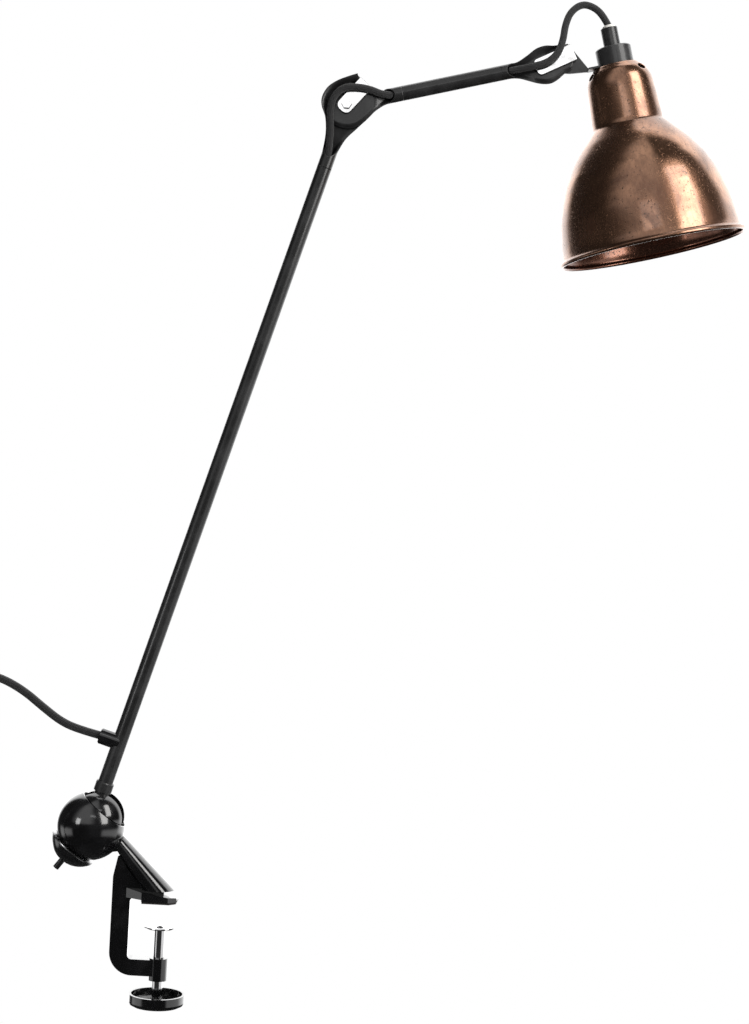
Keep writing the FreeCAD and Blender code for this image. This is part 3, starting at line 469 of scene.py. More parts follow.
def build_patina_group():
    """Aged copper: cloudy oxide, small dark pits, pale flecks and drawn-out wipe marks along local Z."""
    group, gin, gout = new_group(
        "copper_patina",
        [("Vector", "NodeSocketVector", None), ("Cloud Scale", "NodeSocketFloat", 26.0),
         ("Fleck Scale", "NodeSocketFloat", 900.0)],
        [("Cloud", "NodeSocketFloat"), ("Pits", "NodeSocketFloat"), ("Flecks", "NodeSocketFloat"),
         ("Wipes", "NodeSocketFloat"), ("Height", "NodeSocketFloat")])
    vec = gin.outputs["Vector"]
    cloud = noise(group, vec, 26.0, 7.0, 0.62, 0.6)
    group.links.new(gin.outputs["Cloud Scale"], cloud.node.inputs["Scale"])
    flecks = noise(group, vec, 900.0, 3.0, 0.6)
    group.links.new(gin.outputs["Fleck Scale"], flecks.node.inputs["Scale"])
    pits = noise(group, vec, 520.0, 4.0, 0.6, 0.3)
    stretch = group.nodes.new("ShaderNodeMapping")
    stretch.inputs["Scale"].default_value = (420, 420, 30)
    group.links.new(vec, stretch.inputs["Vector"])
    wipes = noise(group, stretch.outputs[0], 1.0, 4.0, 0.6, 0.2)
    pit_mask = ramp(group, pits, 0.6, 0.72)
    fleck_mask = ramp(group, flecks, 0.62, 0.74)
    height = maths(group, "SUBTRACT", maths(group, "MULTIPLY", cloud, 0.6),
                   maths(group, "MULTIPLY", pit_mask, 0.25))
    height = maths(group, "ADD", height, maths(group, "MULTIPLY", wipes, 0.12))
    group.links.new(ramp(group, cloud, 0.36, 0.66), gout.inputs["Cloud"])
    group.links.new(pit_mask, gout.inputs["Pits"])
    group.links.new(fleck_mask, gout.inputs["Flecks"])
    group.links.new(ramp(group, wipes, 0.42, 0.68), gout.inputs["Wipes"])
    group.links.new(height, gout.inputs["Height"])
    return group


copper_patina = build_patina_group()


def copper(name, bright, dark, rough, rough_dark, metallic, coat):
    """Patinated copper; its texture space stands at the shade's top with Z along the shade's axis."""
    mat, tree, shader, place = blank(name)
    local = tree.nodes.new("ShaderNodeMapping")
    local.vector_type = "TEXTURE"
    local.inputs["Location"].default_value = tuple(shade_top)
    local.inputs["Rotation"].default_value = (0, math.radians(180 - shade_tilt), 0)
    tree.links.new(place.outputs["Object"], local.inputs["Vector"])
    skin = use_group(tree, copper_patina)
    tree.links.new(local.outputs[0], skin.inputs["Vector"])
    tone = mix(tree, skin.outputs["Cloud"], dark, bright)
    wiped = tuple(c * 0.6 for c in dark)
    tone = mix(tree, maths(tree, "MULTIPLY", skin.outputs["Wipes"], 0.35), tone, wiped)
    tone = mix(tree, maths(tree, "MULTIPLY", skin.outputs["Pits"], 0.75), tone, (0.02, 0.011, 0.008))
    tone = mix(tree, maths(tree, "MULTIPLY", skin.outputs["Flecks"], 0.35), tone, (0.62, 0.4, 0.27))
    tree.links.new(tone, shader.inputs["Base Color"])
    clear = maths(tree, "SUBTRACT", 1.0, skin.outputs["Cloud"])
    spread = maths(tree, "MULTIPLY", clear, rough_dark - rough)
    spread = maths(tree, "ADD", spread, maths(tree, "MULTIPLY", skin.outputs["Pits"], 0.2))
    tree.links.new(maths(tree, "ADD", spread, rough), shader.inputs["Roughness"])
    shader.inputs["Metallic"].default_value = metallic
    shader.inputs["Coat Weight"].default_value = coat
    shader.inputs["Coat Roughness"].default_value = 0.12
    bump(tree, shader, skin.outputs["Height"], 0.35, 0.0006)
    return mat


cord_r = 3.0 * MM
lead_r = 2.6 * MM

looks = {
    "gloss_black": enamel("gloss_black", (0.004, 0.004, 0.0045), 0.14, 0.2, 1.0, 55.0, 700.0, 0.00012),
    "satin_black": enamel("satin_black", (0.013, 0.013, 0.0135), 0.38, 0.46, 0.3, 90.0, 1500.0, 0.00006),
    "leather_pad": leather("leather_pad"),
    "chrome": bright_metal("chrome", (0.70, 0.70, 0.71), 0.09, 0.8),
    "spring_steel": bright_metal("spring_steel", (0.45, 0.45, 0.46), 0.22, 1.0, (0.3, 0.28, 0.26)),
    "fibre": plastic("fibre", (0.05, 0.03, 0.018), 0.7, 1500.0, 0.00005),
    "braided_cord": braided("braided_cord", cord_r, 12, 0.011),
    "black_plastic": plastic("black_plastic", (0.007, 0.007, 0.008), 0.32, 2200.0, 0.00003),
    "clear_plastic": plastic("clear_plastic", (0.86, 0.84, 0.80), 0.25, 900.0, 0.00002),
    "contact_brass": bright_metal("contact_brass", (0.72, 0.5, 0.2), 0.16, 1.0, (0.5, 0.33, 0.13)),
    "aged_copper": copper("aged_copper", (0.52, 0.275, 0.165), (0.20, 0.098, 0.06), 0.12, 0.30, 0.94, 0.6),
}
shade_lining = copper("shade_lining", (0.34, 0.15, 0.095), (0.15, 0.065, 0.042), 0.16, 0.32, 0.9, 0.4)


def paint_nodes():
    """Every CAD node gets the finish of the material slot that the record gives it."""
    for obj in nodes.values():
        obj.data.materials[0] = looks[obj.data.materials[0].name.split(".")[0]]


# ---------------------------------------------------------------- cords
def in_plane(points):
    """Route given as (x, z, y) in millimetres, in metres."""
    return [(x * MM, y * MM, z * MM) for x, z, y in points]


def coil_turns(centre, mid_r, slots, start_deg, end_deg, per_turn=14):
    """Control points of a wound coil about Y: each turn moves to the next slot a little
    earlier than the one before it."""
    out = []
    step = 360.0 / per_turn
    total = int(round((end_deg - start_deg) / step))
    hop = [int(round(per_turn * (0.95 - 0.12 * k))) + per_turn * k for k in range(len(slots) - 1)]
    for k in range(total + 1):
        at = sum(1 for h in hop if k > h)
        dr, dy = slots[min(at, len(slots) - 1)]
        angle = math.radians(start_deg + k * step)
        r = mid_r + dr
        out.append((centre[0] + r * math.cos(angle), centre[2] + r * math.sin(angle), centre[1] + dy))
    return out


def supply_route():
    """From the ferrule, over the hump and down to the coil, round it, and out to the plug."""
    down = [(-51.9, 120.3, 0), (-66.5, 123.6, 0), (-80.1, 128.8, -2), (-94.0, 139.3, -5),
            (-108.2, 151.2, -9), (-124.6, 160.2, -13), (-142.0, 164.0, -17), (-157.0, 160.0, -19),
            (-168.5, 149.0, -20), (-174.6, 134.0, -22)]
    side = [(-178.5, 121.5, -28), (-184.5, 110.5, -32), (-192.0, 100.0, -31)]
    gap = 6.1
    up = gap * math.sin(math.radians(60))
    slots = [(-up, -gap / 2), (-up, gap / 2), (0, gap), (0, 0), (0, -gap), (up, -gap / 2), (up, gap / 2)]
    turns = coil_turns((-176.0, -20.0, 75.0), 33.3, slots, 150.0, 150.0 + 7.2 * 360)
    tail = [(-190.5, 37.0, -17.5), (-181.5, 28.0, -19), (-176.6, 17.5, -20), (-176.0, 4.0, -20)]
    return in_plane(down + side + turns + tail)


def from_joint(place, points, start, end):
    """Route with its inner points given from a joint's centre, as (x, z, y) in millimetres."""
    inner = [(place[0] + x * MM, y * MM, place[2] + z * MM) for x, z, y in points]
    return [tuple(start)] + inner + [tuple(end)]


def make_cord(name, points, radius, step, material, count=20):
    path = spline_points(name, points, step)
    tube = braid_tube(name, path, radius, count)
    tube.data.materials.append(material)
    return tube, path


place_camera()
lead_weave = braided("lead_weave", lead_r, 12, 0.0095)
front = np.array([0, -lead_off * MM, 0])

supply, supply_path = make_cord("supply_lead", supply_route(), cord_r, 0.0015, looks["braided_cord"], 24)
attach(supply, "lower_arm")
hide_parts("supply_cord", "cord_coil", "cord_tail")

elbow_points = [(-11.2, -33, -2.6), (-10.7, -20, -4.2), (-11.8, -8, -6.0), (-10.6, 3.2, -7.2),
                (-3.6, 11.2, -7.2), (6.0, 12.4, -7.2), (17.0, 11.2, -6.4), (26.0, 8.2, -3.6)]
elbow_start = elbow - arm_way * 42 * MM + front
elbow_end = elbow + short_way * 34 * MM + front
elbow_lead, elbow_path = make_cord(
    "elbow_lead", from_joint(elbow, elbow_points, elbow_start, elbow_end), lead_r, 0.001, lead_weave)
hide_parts("elbow_cord")
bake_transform(elbow_lead)

loop_points = [(233.4, 627.6, -4.3), (242.4, 629.2, -7.8), (252.6, 632.6, -8.4), (259.6, 640, -8),
               (262.6, 650, -6.8), (263.6, 661, -5.2), (267.2, 671.6, -3.6), (275.8, 678.4, -2.2),
               (285.6, 676, -1), (292.4, 669.6, -0.3)]
grip_top = np.array([0.29575, 0.0, 0.66368])
loop_start = head - short_way * 31 * MM + front
loop_route = [tuple(loop_start)] + in_plane(loop_points) + [tuple(grip_top)]
head_lead, head_path = make_cord("head_lead", loop_route, lead_r, 0.001, lead_weave)
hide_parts("head_cord")
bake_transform(head_lead)


# ---------------------------------------------------------------- pieces made here in place of plain nodes
def flowing(rows, count):
    """Catmull-Rom line through rows of any width, count points, evenly by row index."""
    rows = np.asarray(rows, float)
    grown = np.vstack([2 * rows[0] - rows[1], rows, 2 * rows[-1] - rows[-2]])
    at = np.linspace(0, len(rows) - 1, count)
    k = np.minimum(at.astype(int), len(rows) - 2)
    f = (at - k)[:, None]
    a, b, c, d = grown[k], grown[k + 1], grown[k + 2], grown[k + 3]
    square, cube = 2 * a - 5 * b + 4 * c - d, 3 * b - a - 3 * c + d
    return 0.5 * (2 * b + (c - a) * f + square * f ** 2 + cube * f ** 3)


def pressed_sheet(name, left, right, floor, thick, along=90, across=44):
    """Pressed steel between two edges.

    left and right are rows (x, z, rise, width) in mm, and floor one y for each row.  Across the sheet
    y = floor - rise_l * c(d_l / width_l) - rise_r * c(d_r / width_r), c(u) = 1 - 3 u^2 + 2 u^3
    for u < 1 and 0 beyond, so each edge is a rolled lip of its own height; a second face lies
    thick behind it along the normals, and a strip closes the border.
    """
    a = flowing(left, along)[:, None]
    b = flowing(right, along)[:, None]
    base = flowing([[f] for f in floor], along)
    j = (1 - np.cos(np.linspace(0, math.pi, across))) / 2
    j = 0.55 * j + 0.45 * np.linspace(0, 1, across)
    flat = a[..., :2] * (1 - j[None, :, None]) + b[..., :2] * j[None, :, None]
    reach = np.linalg.norm(b[:, 0, :2] - a[:, 0, :2], axis=1)[:, None]

    def rounding(distance, width):
        u = np.clip(distance / np.maximum(width, 0.05), 0, 1)
        return 1 - 3 * u ** 2 + 2 * u ** 3

    y = (base - a[..., 2] * rounding(reach * j[None], a[..., 3])
         - b[..., 2] * rounding(reach * (1 - j[None]), b[..., 3]))
    front_face = np.stack([flat[..., 0], y, flat[..., 1]], -1)
    normal = np.cross(np.gradient(front_face, axis=0), np.gradient(front_face, axis=1))
    normal /= np.maximum(np.linalg.norm(normal, axis=2), 1e-9)[..., None]
    if normal[along // 2, across // 2, 1] > 0:
        normal = -normal
    back_face = front_face - normal * thick
    return closed_sheet(name, front_face * MM, back_face * MM, normal)


def closed_sheet(name, front_face, back_face, normal):
    """Solid between two grids of the same size, faces outward."""
    rows, cols = front_face.shape[:2]
    quads = grid_faces(rows, cols, wrap_cols=False)
    count = rows * cols
    index = np.arange(count).reshape(rows, cols)
    rim = np.concatenate([index[0], index[1:, -1], index[-1, -2::-1], index[-2:0:-1, 0]])
    strip = np.stack([rim, np.roll(rim, -1), np.roll(rim, -1) + count, rim + count], -1)
    verts = np.concatenate([front_face.reshape(-1, 3), back_face.reshape(-1, 3)])
    probe = quads[len(quads) // 2]
    turned_way = np.cross(verts[probe[1]] - verts[probe[0]], verts[probe[2]] - verts[probe[0]])
    ahead = normal[rows // 2, cols // 2]
    if np.dot(turned_way, ahead) > 0:
        faces = np.concatenate([quads, quads[:, ::-1] + count, strip[:, ::-1]])
    else:
        faces = np.concatenate([quads[:, ::-1], quads + count, strip])
    obj = mesh_object(name, verts, faces)
    edge = obj.modifiers.new("edge", "BEVEL")
    edge.width = 0.00018
    edge.segments = 2
    edge.limit_method = "ANGLE"
    edge.angle_limit = math.radians(50)
    return settled(obj)


def settled(obj):
    """Applies the modifiers of a piece, so that its mesh is what is shown."""
    mesh = bpy.data.meshes.new_from_object(obj.evaluated_get(bpy.context.evaluated_depsgraph_get()))
    obj.modifiers.clear()
    obj.data = mesh
    mesh.polygons.foreach_set("use_smooth", [True] * len(mesh.polygons))
    return obj


def dressed(obj, look, body, *replaced):
    """Gives a piece its material and body, and hides the nodes that it stands for."""
    obj.data.materials.clear()
    obj.data.materials.append(look)
    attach(obj, body)
    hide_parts(*replaced)


def plate(name, outline, y0, y1, soft=0.35, step=0.7):
    """Flat plate with rounded corners (x, z, radius) in mm from y0 to y1, its edges eased by soft."""
    line = rounded_line(outline, step)
    area = 0.5 * np.sum(line[:, 0] * np.roll(line[:, 1], -1) - np.roll(line[:, 0], -1) * line[:, 1])
    if area < 0:
        line = line[::-1]
    ahead = np.roll(line, -1, 0) - np.roll(line, 1, 0)
    inward = np.stack([-ahead[:, 1], ahead[:, 0]], -1)
    inward /= np.linalg.norm(inward, axis=1)[:, None]
    rows = []
    for t in np.linspace(0, math.pi / 2, 5):
        rows.append((soft * (1 - math.sin(t)), y0 + soft * (1 - math.cos(t))))
    for t in np.linspace(math.pi / 2, 0, 5):
        rows.append((soft * (1 - math.sin(t)), y1 - soft * (1 - math.cos(t))))
    verts = []
    for inset, y in rows:
        p = line + inward * inset
        verts.append(np.stack([p[:, 0], np.full(len(p), y), p[:, 1]], -1))
    count = len(line)
    verts = np.concatenate(verts) * MM
    faces = [tuple(f) for f in grid_faces(len(rows), count)[:, ::-1]]
    faces += [tuple(range(count)), tuple(range(len(rows) * count - 1, (len(rows) - 1) * count - 1, -1))]
    obj = mesh_object(name, verts, faces)
    mesh = obj.data
    for face in (mesh.polygons[-1], mesh.polygons[-2]):
        face.use_smooth = False
    return obj


def turned_outline(pivot, degrees, points):
    """(along, across, radius) points about a pivot as (x, z, radius) in mm."""
    u = steer(degrees)
    v = steer(degrees + 90)
    base = np.asarray(pivot) / MM
    return [(base[0] + u[0] * s + v[0] * t, base[2] + u[2] * s + v[2] * t, r) for s, t, r in points]


def mouth_tube(name, pivot, way, root, front_end, back_end, radius, thick):
    """Tube end with a scooped mouth: its wall stops at back_end + (front_end - back_end) * w(angle)
    mm from the pivot, w = ((1 + cos angle) / 2) ^ 1.5, with angle 0 towards the front."""
    way = unit(way)
    ahead = np.array([0, -1.0, 0])
    aside = np.cross(way, ahead)
    count, steps = 56, 14
    angle = np.arange(count) * tau / count
    stop = back_end + (front_end - back_end) * ((1 + np.cos(angle)) / 2) ** 1.5
    ring = np.cos(angle)[:, None] * ahead + np.sin(angle)[:, None] * aside
    t = np.linspace(0, 1, steps)
    rows = []
    soft = 0.15
    eased = (radius - soft, radius - thick + soft)
    for r, line in ((radius, t), (eased[0], t[-1:]), (eased[1], t[-1:]), (radius - thick, t[::-1])):
        for f in line:
            ease = 0.0 if r in eased else soft * (f == 1)
            s = root + (stop - root) * f + ease
            rows.append(np.asarray(pivot) + (way * s[:, None] + ring * r) * MM)
    verts = np.stack(rows)
    faces = grid_faces(len(rows), count, wrap_rows=True)
    return mesh_object(name, verts.reshape(-1, 3), faces)


def joined(first, *others):
    """Puts the other meshes into the first object, so that they make one piece."""
    verts, faces = [], []
    for obj in (first, *others):
        base = sum(len(v) for v in verts)
        co = np.zeros(len(obj.data.vertices) * 3)
        obj.data.vertices.foreach_get("co", co)
        verts.append(co.reshape(-1, 3))
        faces += [tuple(i + base for i in p.vertices) for p in obj.data.polygons]
    name = first.name
    for obj in (first, *others):
        obj.name = "spent"
        bpy.data.objects.remove(obj)
    return mesh_object(name, np.concatenate(verts), faces)


# Edges of the pressed ends: x, z, rise of the lip and its width, one row of each edge to one floor.
# Elbow: lower arm's cupped end, the short arm's leaf and the bright bar under the bolt.
hood_left = [(87.4, 550.5, 4.6, 4.9), (90.0, 561.4, 5.6, 5.5), (91.5, 573.5, 6.0, 5.5),
             (90.6, 584.4, 6.4, 6.5), (87.6, 592.6, 6.8, 8.5), (87.6, 599.2, 7.0, 10.0),
             (91.4, 606.4, 7.0, 10.5), (98.0, 611.6, 6.4, 9.5), (105.8, 615.3, 5.0, 7.5),
             (112.8, 618.0, 3.4, 5.5)]
hood_right = [(96.8, 547.7, 4.6, 4.9), (100.4, 558.4, 3.0, 4.6), (106.2, 569.6, 0.8, 3.5),
              (114.6, 578.4, 0.4, 3.0), (121.0, 585.6, 0.4, 2.5), (122.6, 592.4, 0.4, 2.5),
              (121.4, 600.0, 0.4, 2.5), (117.6, 606.0, 0.4, 2.5), (112.8, 609.6, 0.8, 2.0),
              (113.8, 614.6, 2.0, 2.0)]
hood_floor = [4.6, 3.6, 1.8, 0.9, 0.6, 0.6, 0.6, 0.6, 0.0, -0.8]
leaf_top = [(149.1, 611.4, 4.6, 4.9), (139.4, 609.2, 5.2, 5.0), (132.6, 606.8, 2.5, 4.0),
            (126.6, 605.6, 0.6, 3.0), (119.6, 606.8, -0.7, 2.2), (112.0, 610.6, -0.8, 2.2),
            (104.0, 611.6, -0.8, 2.2), (96.4, 608.8, -0.8, 2.2), (91.0, 602.6, -0.8, 2.2),
            (89.2, 595.6, -0.8, 2.2)]
leaf_low = [(151.6, 602.0, 4.6, 4.9), (141.0, 598.9, 5.2, 5.0), (133.4, 596.0, 2.4, 4.0),
            (127.6, 591.8, -0.9, 3.2), (122.6, 586.2, -1.2, 3.0), (117.2, 581.0, -1.2, 3.0),
            (109.8, 577.8, -1.2, 2.6), (101.4, 578.4, -1.2, 2.6), (94.2, 582.8, -1.2, 2.6),
            (89.8, 590.2, -1.2, 2.6)]
leaf_floor = [4.6, 3.6, 0.9, -1.6, -2.2, -2.2, -2.2, -2.2, -2.2, -2.2]
elbow_shell = joined(pressed_sheet("elbow_cup", hood_left, hood_right, hood_floor, sheet_t),
                     mouth_tube("cup_mouth", elbow, -arm_way, 50.0, 41.0, 28.0, tube_r, sheet_t))
dressed(elbow_shell, looks["satin_black"], "lower_arm", "elbow_hood")
elbow_leaf = joined(pressed_sheet("short_arm_cup", leaf_top, leaf_low, leaf_floor, sheet_t),
                    mouth_tube("leaf_mouth", elbow, short_way, 42.0, 36.0, 27.0, tube_r, sheet_t))
dressed(elbow_leaf, looks["satin_black"], "short_arm", "short_arm_elbow_leaf")
elbow_plate = plate("elbow_bright_bar", turned_outline(elbow, 50.0, [
    (-6.4, -5.9, 4.6), (21.5, -5.9, 0.8), (21.5, 5.9, 0.8), (-6.4, 5.9, 4.6)]), bar_front, bar_back, 0.3)
dressed(elbow_plate, looks["chrome"], "lower_arm", "elbow_bar")

# Head: the short arm's leaf and the bright bar.
spindle_top = [(214.6, 628.5, 4.6, 4.9), (224.0, 631.2, 5.0, 5.0), (230.0, 633.0, 2.2, 4.4),
               (236.6, 637.6, 1.6, 5.2), (243.0, 642.8, 2.4, 6.0), (249.4, 645.3, 2.8, 6.0),
               (255.4, 645.7, 2.6, 5.0), (261.0, 646.4, 1.6, 3.6), (266.0, 643.6, 0.4, 2.0),
               (269.4, 637.6, 0.2, 2.0)]
spindle_low = [(217.1, 619.0, 4.6, 4.9), (226.0, 620.6, 5.0, 5.0), (232.0, 621.0, 1.6, 4.2),
               (240.0, 619.3, 0.6, 4.0), (248.4, 617.9, -0.9, 3.6), (255.4, 618.5, -1.4, 3.4),
               (260.6, 621.6, -1.4, 3.2), (265.6, 626.4, -1.2, 3.0), (269.8, 629.2, -1.0, 2.4),
               (271.4, 633.0, -0.6, 2.0)]
spindle_floor = [4.6, 3.4, 0.6, -1.2, -2.1, -2.2, -2.2, -2.2, -2.2, -2.2]
head_leaf = joined(pressed_sheet("short_arm_head_cup", spindle_top, spindle_low, spindle_floor, sheet_t),
                   mouth_tube("head_mouth", head, -short_way, 37.0, 33.0, 24.0, tube_r, sheet_t))
dressed(head_leaf, looks["satin_black"], "short_arm", "short_arm_head_leaf")
head_plate = plate("head_bright_bar", turned_outline(head, 27.0, [
    (-12.0, -6.2, 3.2), (18.5, -6.2, 0.8), (18.5, 6.2, 0.8), (-12.0, 6.2, 3.2)]), bar_front, bar_back, 0.3)
dressed(head_plate, looks["chrome"], "head", "head_bar")


# Shade: one spun sheet with a rolled rim and three vents in its shoulder.
def spun_shade(name, wall=0.9, columns=264):
    """Sheet of revolution, outer and inner face a wall apart, joined by the rim's bead and the top hole.

    Each vent is an oval 4.2 by 3.3 mm in half size: in a patch of the grid round its centre, square
    distance q = max(|u|, |v|) is turned into round distance, and the cells with q < 0.5 are left out.
    """
    top = flowing([(0.0, 9.5), (0.0, 13.0), (0.0, 16.4), (0.5, 17.3), (2.2, 18.9), (5.0, 21.4),
                   (9.5, 23.6), (14.5, 24.7), (24.0, 25.4), (33.0, 26.0), (41.5, 26.5)], 64)
    bend = [(43.8, 26.7), (44.9, 27.1), (45.7, 27.8), (46.6, 28.7)]
    bell = flowing([(48.0, 30.1), (52.0, 34.0), (56.2, 38.0), (60.4, 41.5), (64.8, 44.9), (69.2, 47.9),
                    (73.6, 50.6), (78.0, 53.2), (82.4, 55.4), (87.0, 57.4), (91.2, 59.0), (95.6, 60.5),
                    (100.0, 61.8), (104.5, 63.0), (109.0, 64.0), (117.5, 65.2), (126.4, 66.3),
                    (131.0, 67.0), (134.0, 67.9)], 90)
    outer = np.vstack([top, bend, bell])
    ahead = np.gradient(outer, axis=0)
    ahead /= np.linalg.norm(ahead, axis=1)[:, None]
    inner = outer + np.stack([ahead[:, 1], -ahead[:, 0]], -1) * wall
    bead_at, bead = np.array([136.9, 68.3]), 1.6   # centre of the rolled rim and its radius
    start = math.atan2(outer[-1, 1] - bead_at[1], outer[-1, 0] - bead_at[0])
    stop = math.atan2(inner[-1, 1] - bead_at[1], inner[-1, 0] - bead_at[0])
    if stop > start:
        stop -= tau
    roll = np.linspace(start, stop, 22)[1:-1]
    rim = bead_at + bead * np.stack([np.cos(roll), np.sin(roll)], -1)
    line = np.vstack([outer, rim, inner[::-1]])
    rows = len(line)
    count = len(outer)
    axis, side, other = axis_frame(shade_down)
    angle = np.broadcast_to(np.arange(columns) * tau / columns, (rows, columns)).copy()
    along = np.broadcast_to(line[:, 0:1], (rows, columns)).copy()
    radius = np.broadcast_to(line[:, 1:2], (rows, columns)).copy()
    run = np.r_[0, np.cumsum(np.linalg.norm(np.diff(outer, axis=0), axis=1))]
    arc = np.r_[run, np.full(len(rim), 1e3), run[::-1]]
    vent_down, vent_first, vent_count = 5.6, 223, 3
    near = float(np.interp(vent_down, outer[:, 0], run))
    keep = np.ones((rows, columns), bool)
    grow, vent_half, round_r = 2.0, (4.2, 3.3), 21.6
    for middle in vent_first + np.arange(vent_count) * 360 / vent_count:
        turn = np.mod(angle - math.radians(middle) + math.pi, tau) - math.pi
        across = turn * round_r / vent_half[0] / grow
        down = (arc[:, None] - near) / vent_half[1] / grow * np.ones((1, columns))
        square = np.maximum(np.abs(across), np.abs(down))
        plain = np.hypot(across, down) + 1e-9
        weight = np.clip((1 - square) / 0.5, 0, 1)
        factor = 1 + weight * (square / plain - 1)
        moved = (square < 1) & (plain > 1e-6)
        angle = np.where(moved, angle + across * (factor - 1) * grow * vent_half[0] / round_r, angle)
        target = arc[:, None] + down * (factor - 1) * grow * vent_half[1]
        outside = np.arange(rows)[:, None] < count
        s_out, r_out = np.interp(target, run, outer[:, 0]), np.interp(target, run, outer[:, 1])
        s_in, r_in = np.interp(target, run, inner[:, 0]), np.interp(target, run, inner[:, 1])
        along = np.where(moved, np.where(outside, s_out, s_in), along)
        radius = np.where(moved, np.where(outside, r_out, r_in), radius)
        keep &= ~(square < 0.5)
    point = (shade_top + MM * (along[..., None] * axis + radius[..., None] * (
        np.cos(angle)[..., None] * side + np.sin(angle)[..., None] * other)))
    quads = grid_faces(rows, columns, wrap_rows=True)
    inside = keep.reshape(-1)
    solid = inside[quads].any(axis=1)
    faces = [tuple(q) for q in quads[solid]]

    def mirror(v):
        """The vertex on the other face of the sheet."""
        return (rows - 1 - v // columns) * columns + v % columns

    edges = dict.fromkeys((int(q[k]), int(q[(k + 1) % 4])) for q in quads[solid] for k in range(4))
    for a, b in edges:
        if (b, a) not in edges and a // columns < count:
            faces.append((b, a, mirror(a), mirror(b)))
    used = sorted({v for f in faces for v in f})
    new = {v: k for k, v in enumerate(used)}
    return mesh_object(name, point.reshape(-1, 3)[used], [tuple(new[v] for v in f) for f in faces])


def line_inside(obj, lining):
    """The faces that look towards the shade's axis get a second material, the lining."""
    obj.data.materials.append(lining)
    centre = np.zeros(len(obj.data.polygons) * 3)
    obj.data.polygons.foreach_get("center", centre)
    normal = np.zeros_like(centre)
    obj.data.polygons.foreach_get("normal", normal)
    offset = centre.reshape(-1, 3) - shade_top
    outward = offset - np.outer(offset @ shade_down, shade_down)
    lined = np.einsum("ij,ij->i", outward, normal.reshape(-1, 3)) < 0
    obj.data.polygons.foreach_set("material_index", lined.astype(np.int32))


copper_shade = spun_shade("copper_shade")
copper_shade.data.materials.append(looks["aged_copper"])
line_inside(copper_shade, shade_lining)
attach(copper_shade, "head")
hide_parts("shade")


# ---------------------------------------------------------------- light and floor
def area_light(name, place, aim, size, power, colour=(1, 1, 1)):
    data = bpy.data.lights.new(name, "AREA")
    data.shape = "RECTANGLE"
    data.size, data.size_y = size
    data.energy = power
    data.color = colour
    obj = bpy.data.objects.new(name, data)
    obj.location = place
    way = Vector(aim) - Vector(place)
    obj.rotation_euler = way.to_track_quat("-Z", "Y").to_euler()
    bpy.context.scene.collection.objects.link(obj)


def wall_panel(tree, turn, height, edges):
    """Mask of one lit panel: degrees round from the front and the sine of its height, with soft edges."""
    low, high, foot, top, soft = edges
    mask = maths(tree, "MULTIPLY", ramp(tree, turn, low - soft, low + soft, "SMOOTHSTEP"),
                 ramp(tree, turn, high + soft, high - soft, "SMOOTHSTEP"))
    rise = maths(tree, "MULTIPLY", ramp(tree, height, foot - 0.08, foot + 0.08, "SMOOTHSTEP"),
                 ramp(tree, height, top + 0.08, top - 0.08, "SMOOTHSTEP"))
    return maths(tree, "MULTIPLY", mask, rise)


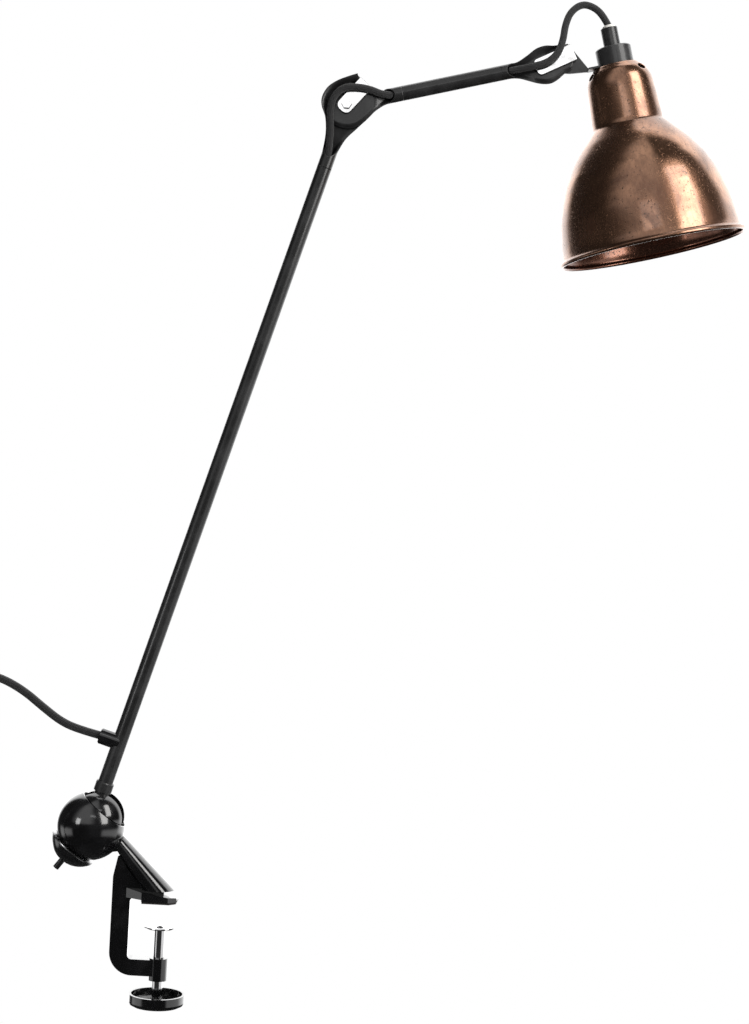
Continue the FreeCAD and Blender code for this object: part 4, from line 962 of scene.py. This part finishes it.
def studio_world(base, panels):
    """White to the camera; to everything else a dark room with the lit panels round it."""
    world = bpy.data.worlds.new("studio")
    world.use_nodes = True
    tree = world.node_tree
    tree.nodes.clear()
    way = tree.nodes.new("ShaderNodeTexCoord")
    split = tree.nodes.new("ShaderNodeSeparateXYZ")
    tree.links.new(way.outputs["Generated"], split.inputs[0])
    front = maths(tree, "MULTIPLY", split.outputs[1], -1.0)
    turn = maths(tree, "MULTIPLY", maths(tree, "ARCTAN2", split.outputs[0], front), 180 / math.pi)
    total = None
    for edges, strength in panels:
        part = maths(tree, "MULTIPLY", wall_panel(tree, turn, split.outputs[2], edges), strength)
        total = part if total is None else maths(tree, "ADD", total, part)
    path = tree.nodes.new("ShaderNodeLightPath")
    seen = tree.nodes.new("ShaderNodeBackground")
    seen.inputs["Color"].default_value = (1, 1, 1, 1)
    fill = tree.nodes.new("ShaderNodeBackground")
    fill.inputs["Color"].default_value = (1, 1, 1, 1)
    tree.links.new(maths(tree, "ADD", total, base), fill.inputs["Strength"])
    both = tree.nodes.new("ShaderNodeMixShader")
    out = tree.nodes.new("ShaderNodeOutputWorld")
    tree.links.new(path.outputs["Is Camera Ray"], both.inputs[0])
    tree.links.new(fill.outputs[0], both.inputs[1])
    tree.links.new(seen.outputs[0], both.inputs[2])
    tree.links.new(both.outputs[0], out.inputs["Surface"])
    bpy.context.scene.world = world


def make_floor(height, half, near, far):
    floor = mesh_object("floor", [(-half, near, height), (half, near, height), (half, far, height),
                                  (-half, far, height)], [(0, 1, 2, 3)], smooth=False)
    mat, tree, shader, place = blank("floor_paper")
    grain = noise(tree, place.outputs["Object"], 60.0, 4.0)
    tree.links.new(mix(tree, ramp(tree, grain, 0.3, 0.7), (0.80, 0.80, 0.80), (0.84, 0.84, 0.84)),
                   shader.inputs["Base Color"])
    shader.inputs["Roughness"].default_value = 0.7
    floor.data.materials.append(mat)
    floor.visible_glossy = False


paint_nodes()
# Each panel: from and to degrees, from and to height, softness of its sides; then its strength.
behind = [((112, 185, -0.3, 1.1, 8), 1.9), ((-185, -138, -0.3, 1.1, 8), 1.9)]
above_front = [((-54, 14, 0.22, 1.0, 16), 0.7)]
low_sides = [((46, 112, -0.42, -0.12, 6), 0.9), ((-112, -58, -0.42, -0.12, 6), 0.9)]
studio_world(0.03, behind + above_front + low_sides)
make_floor(-0.35, 0.7, -0.5, 0.6)
area_light("right_box", (0.98, -0.66, 0.94), (0.33, 0, 0.58), (0.56, 1.25), 13.0, (1.0, 0.985, 0.965))
area_light("bar_light", (0.2, -0.9, 0.81), (0.19, 0, 0.62), (0.36, 0.15), 0.26)
area_light("low_left", (-0.44, -0.50, 0.26), (-0.056, 0, 0.052), (0.16, 0.20), 0.5)
bpy.context.scene.view_settings.view_transform = "Standard"
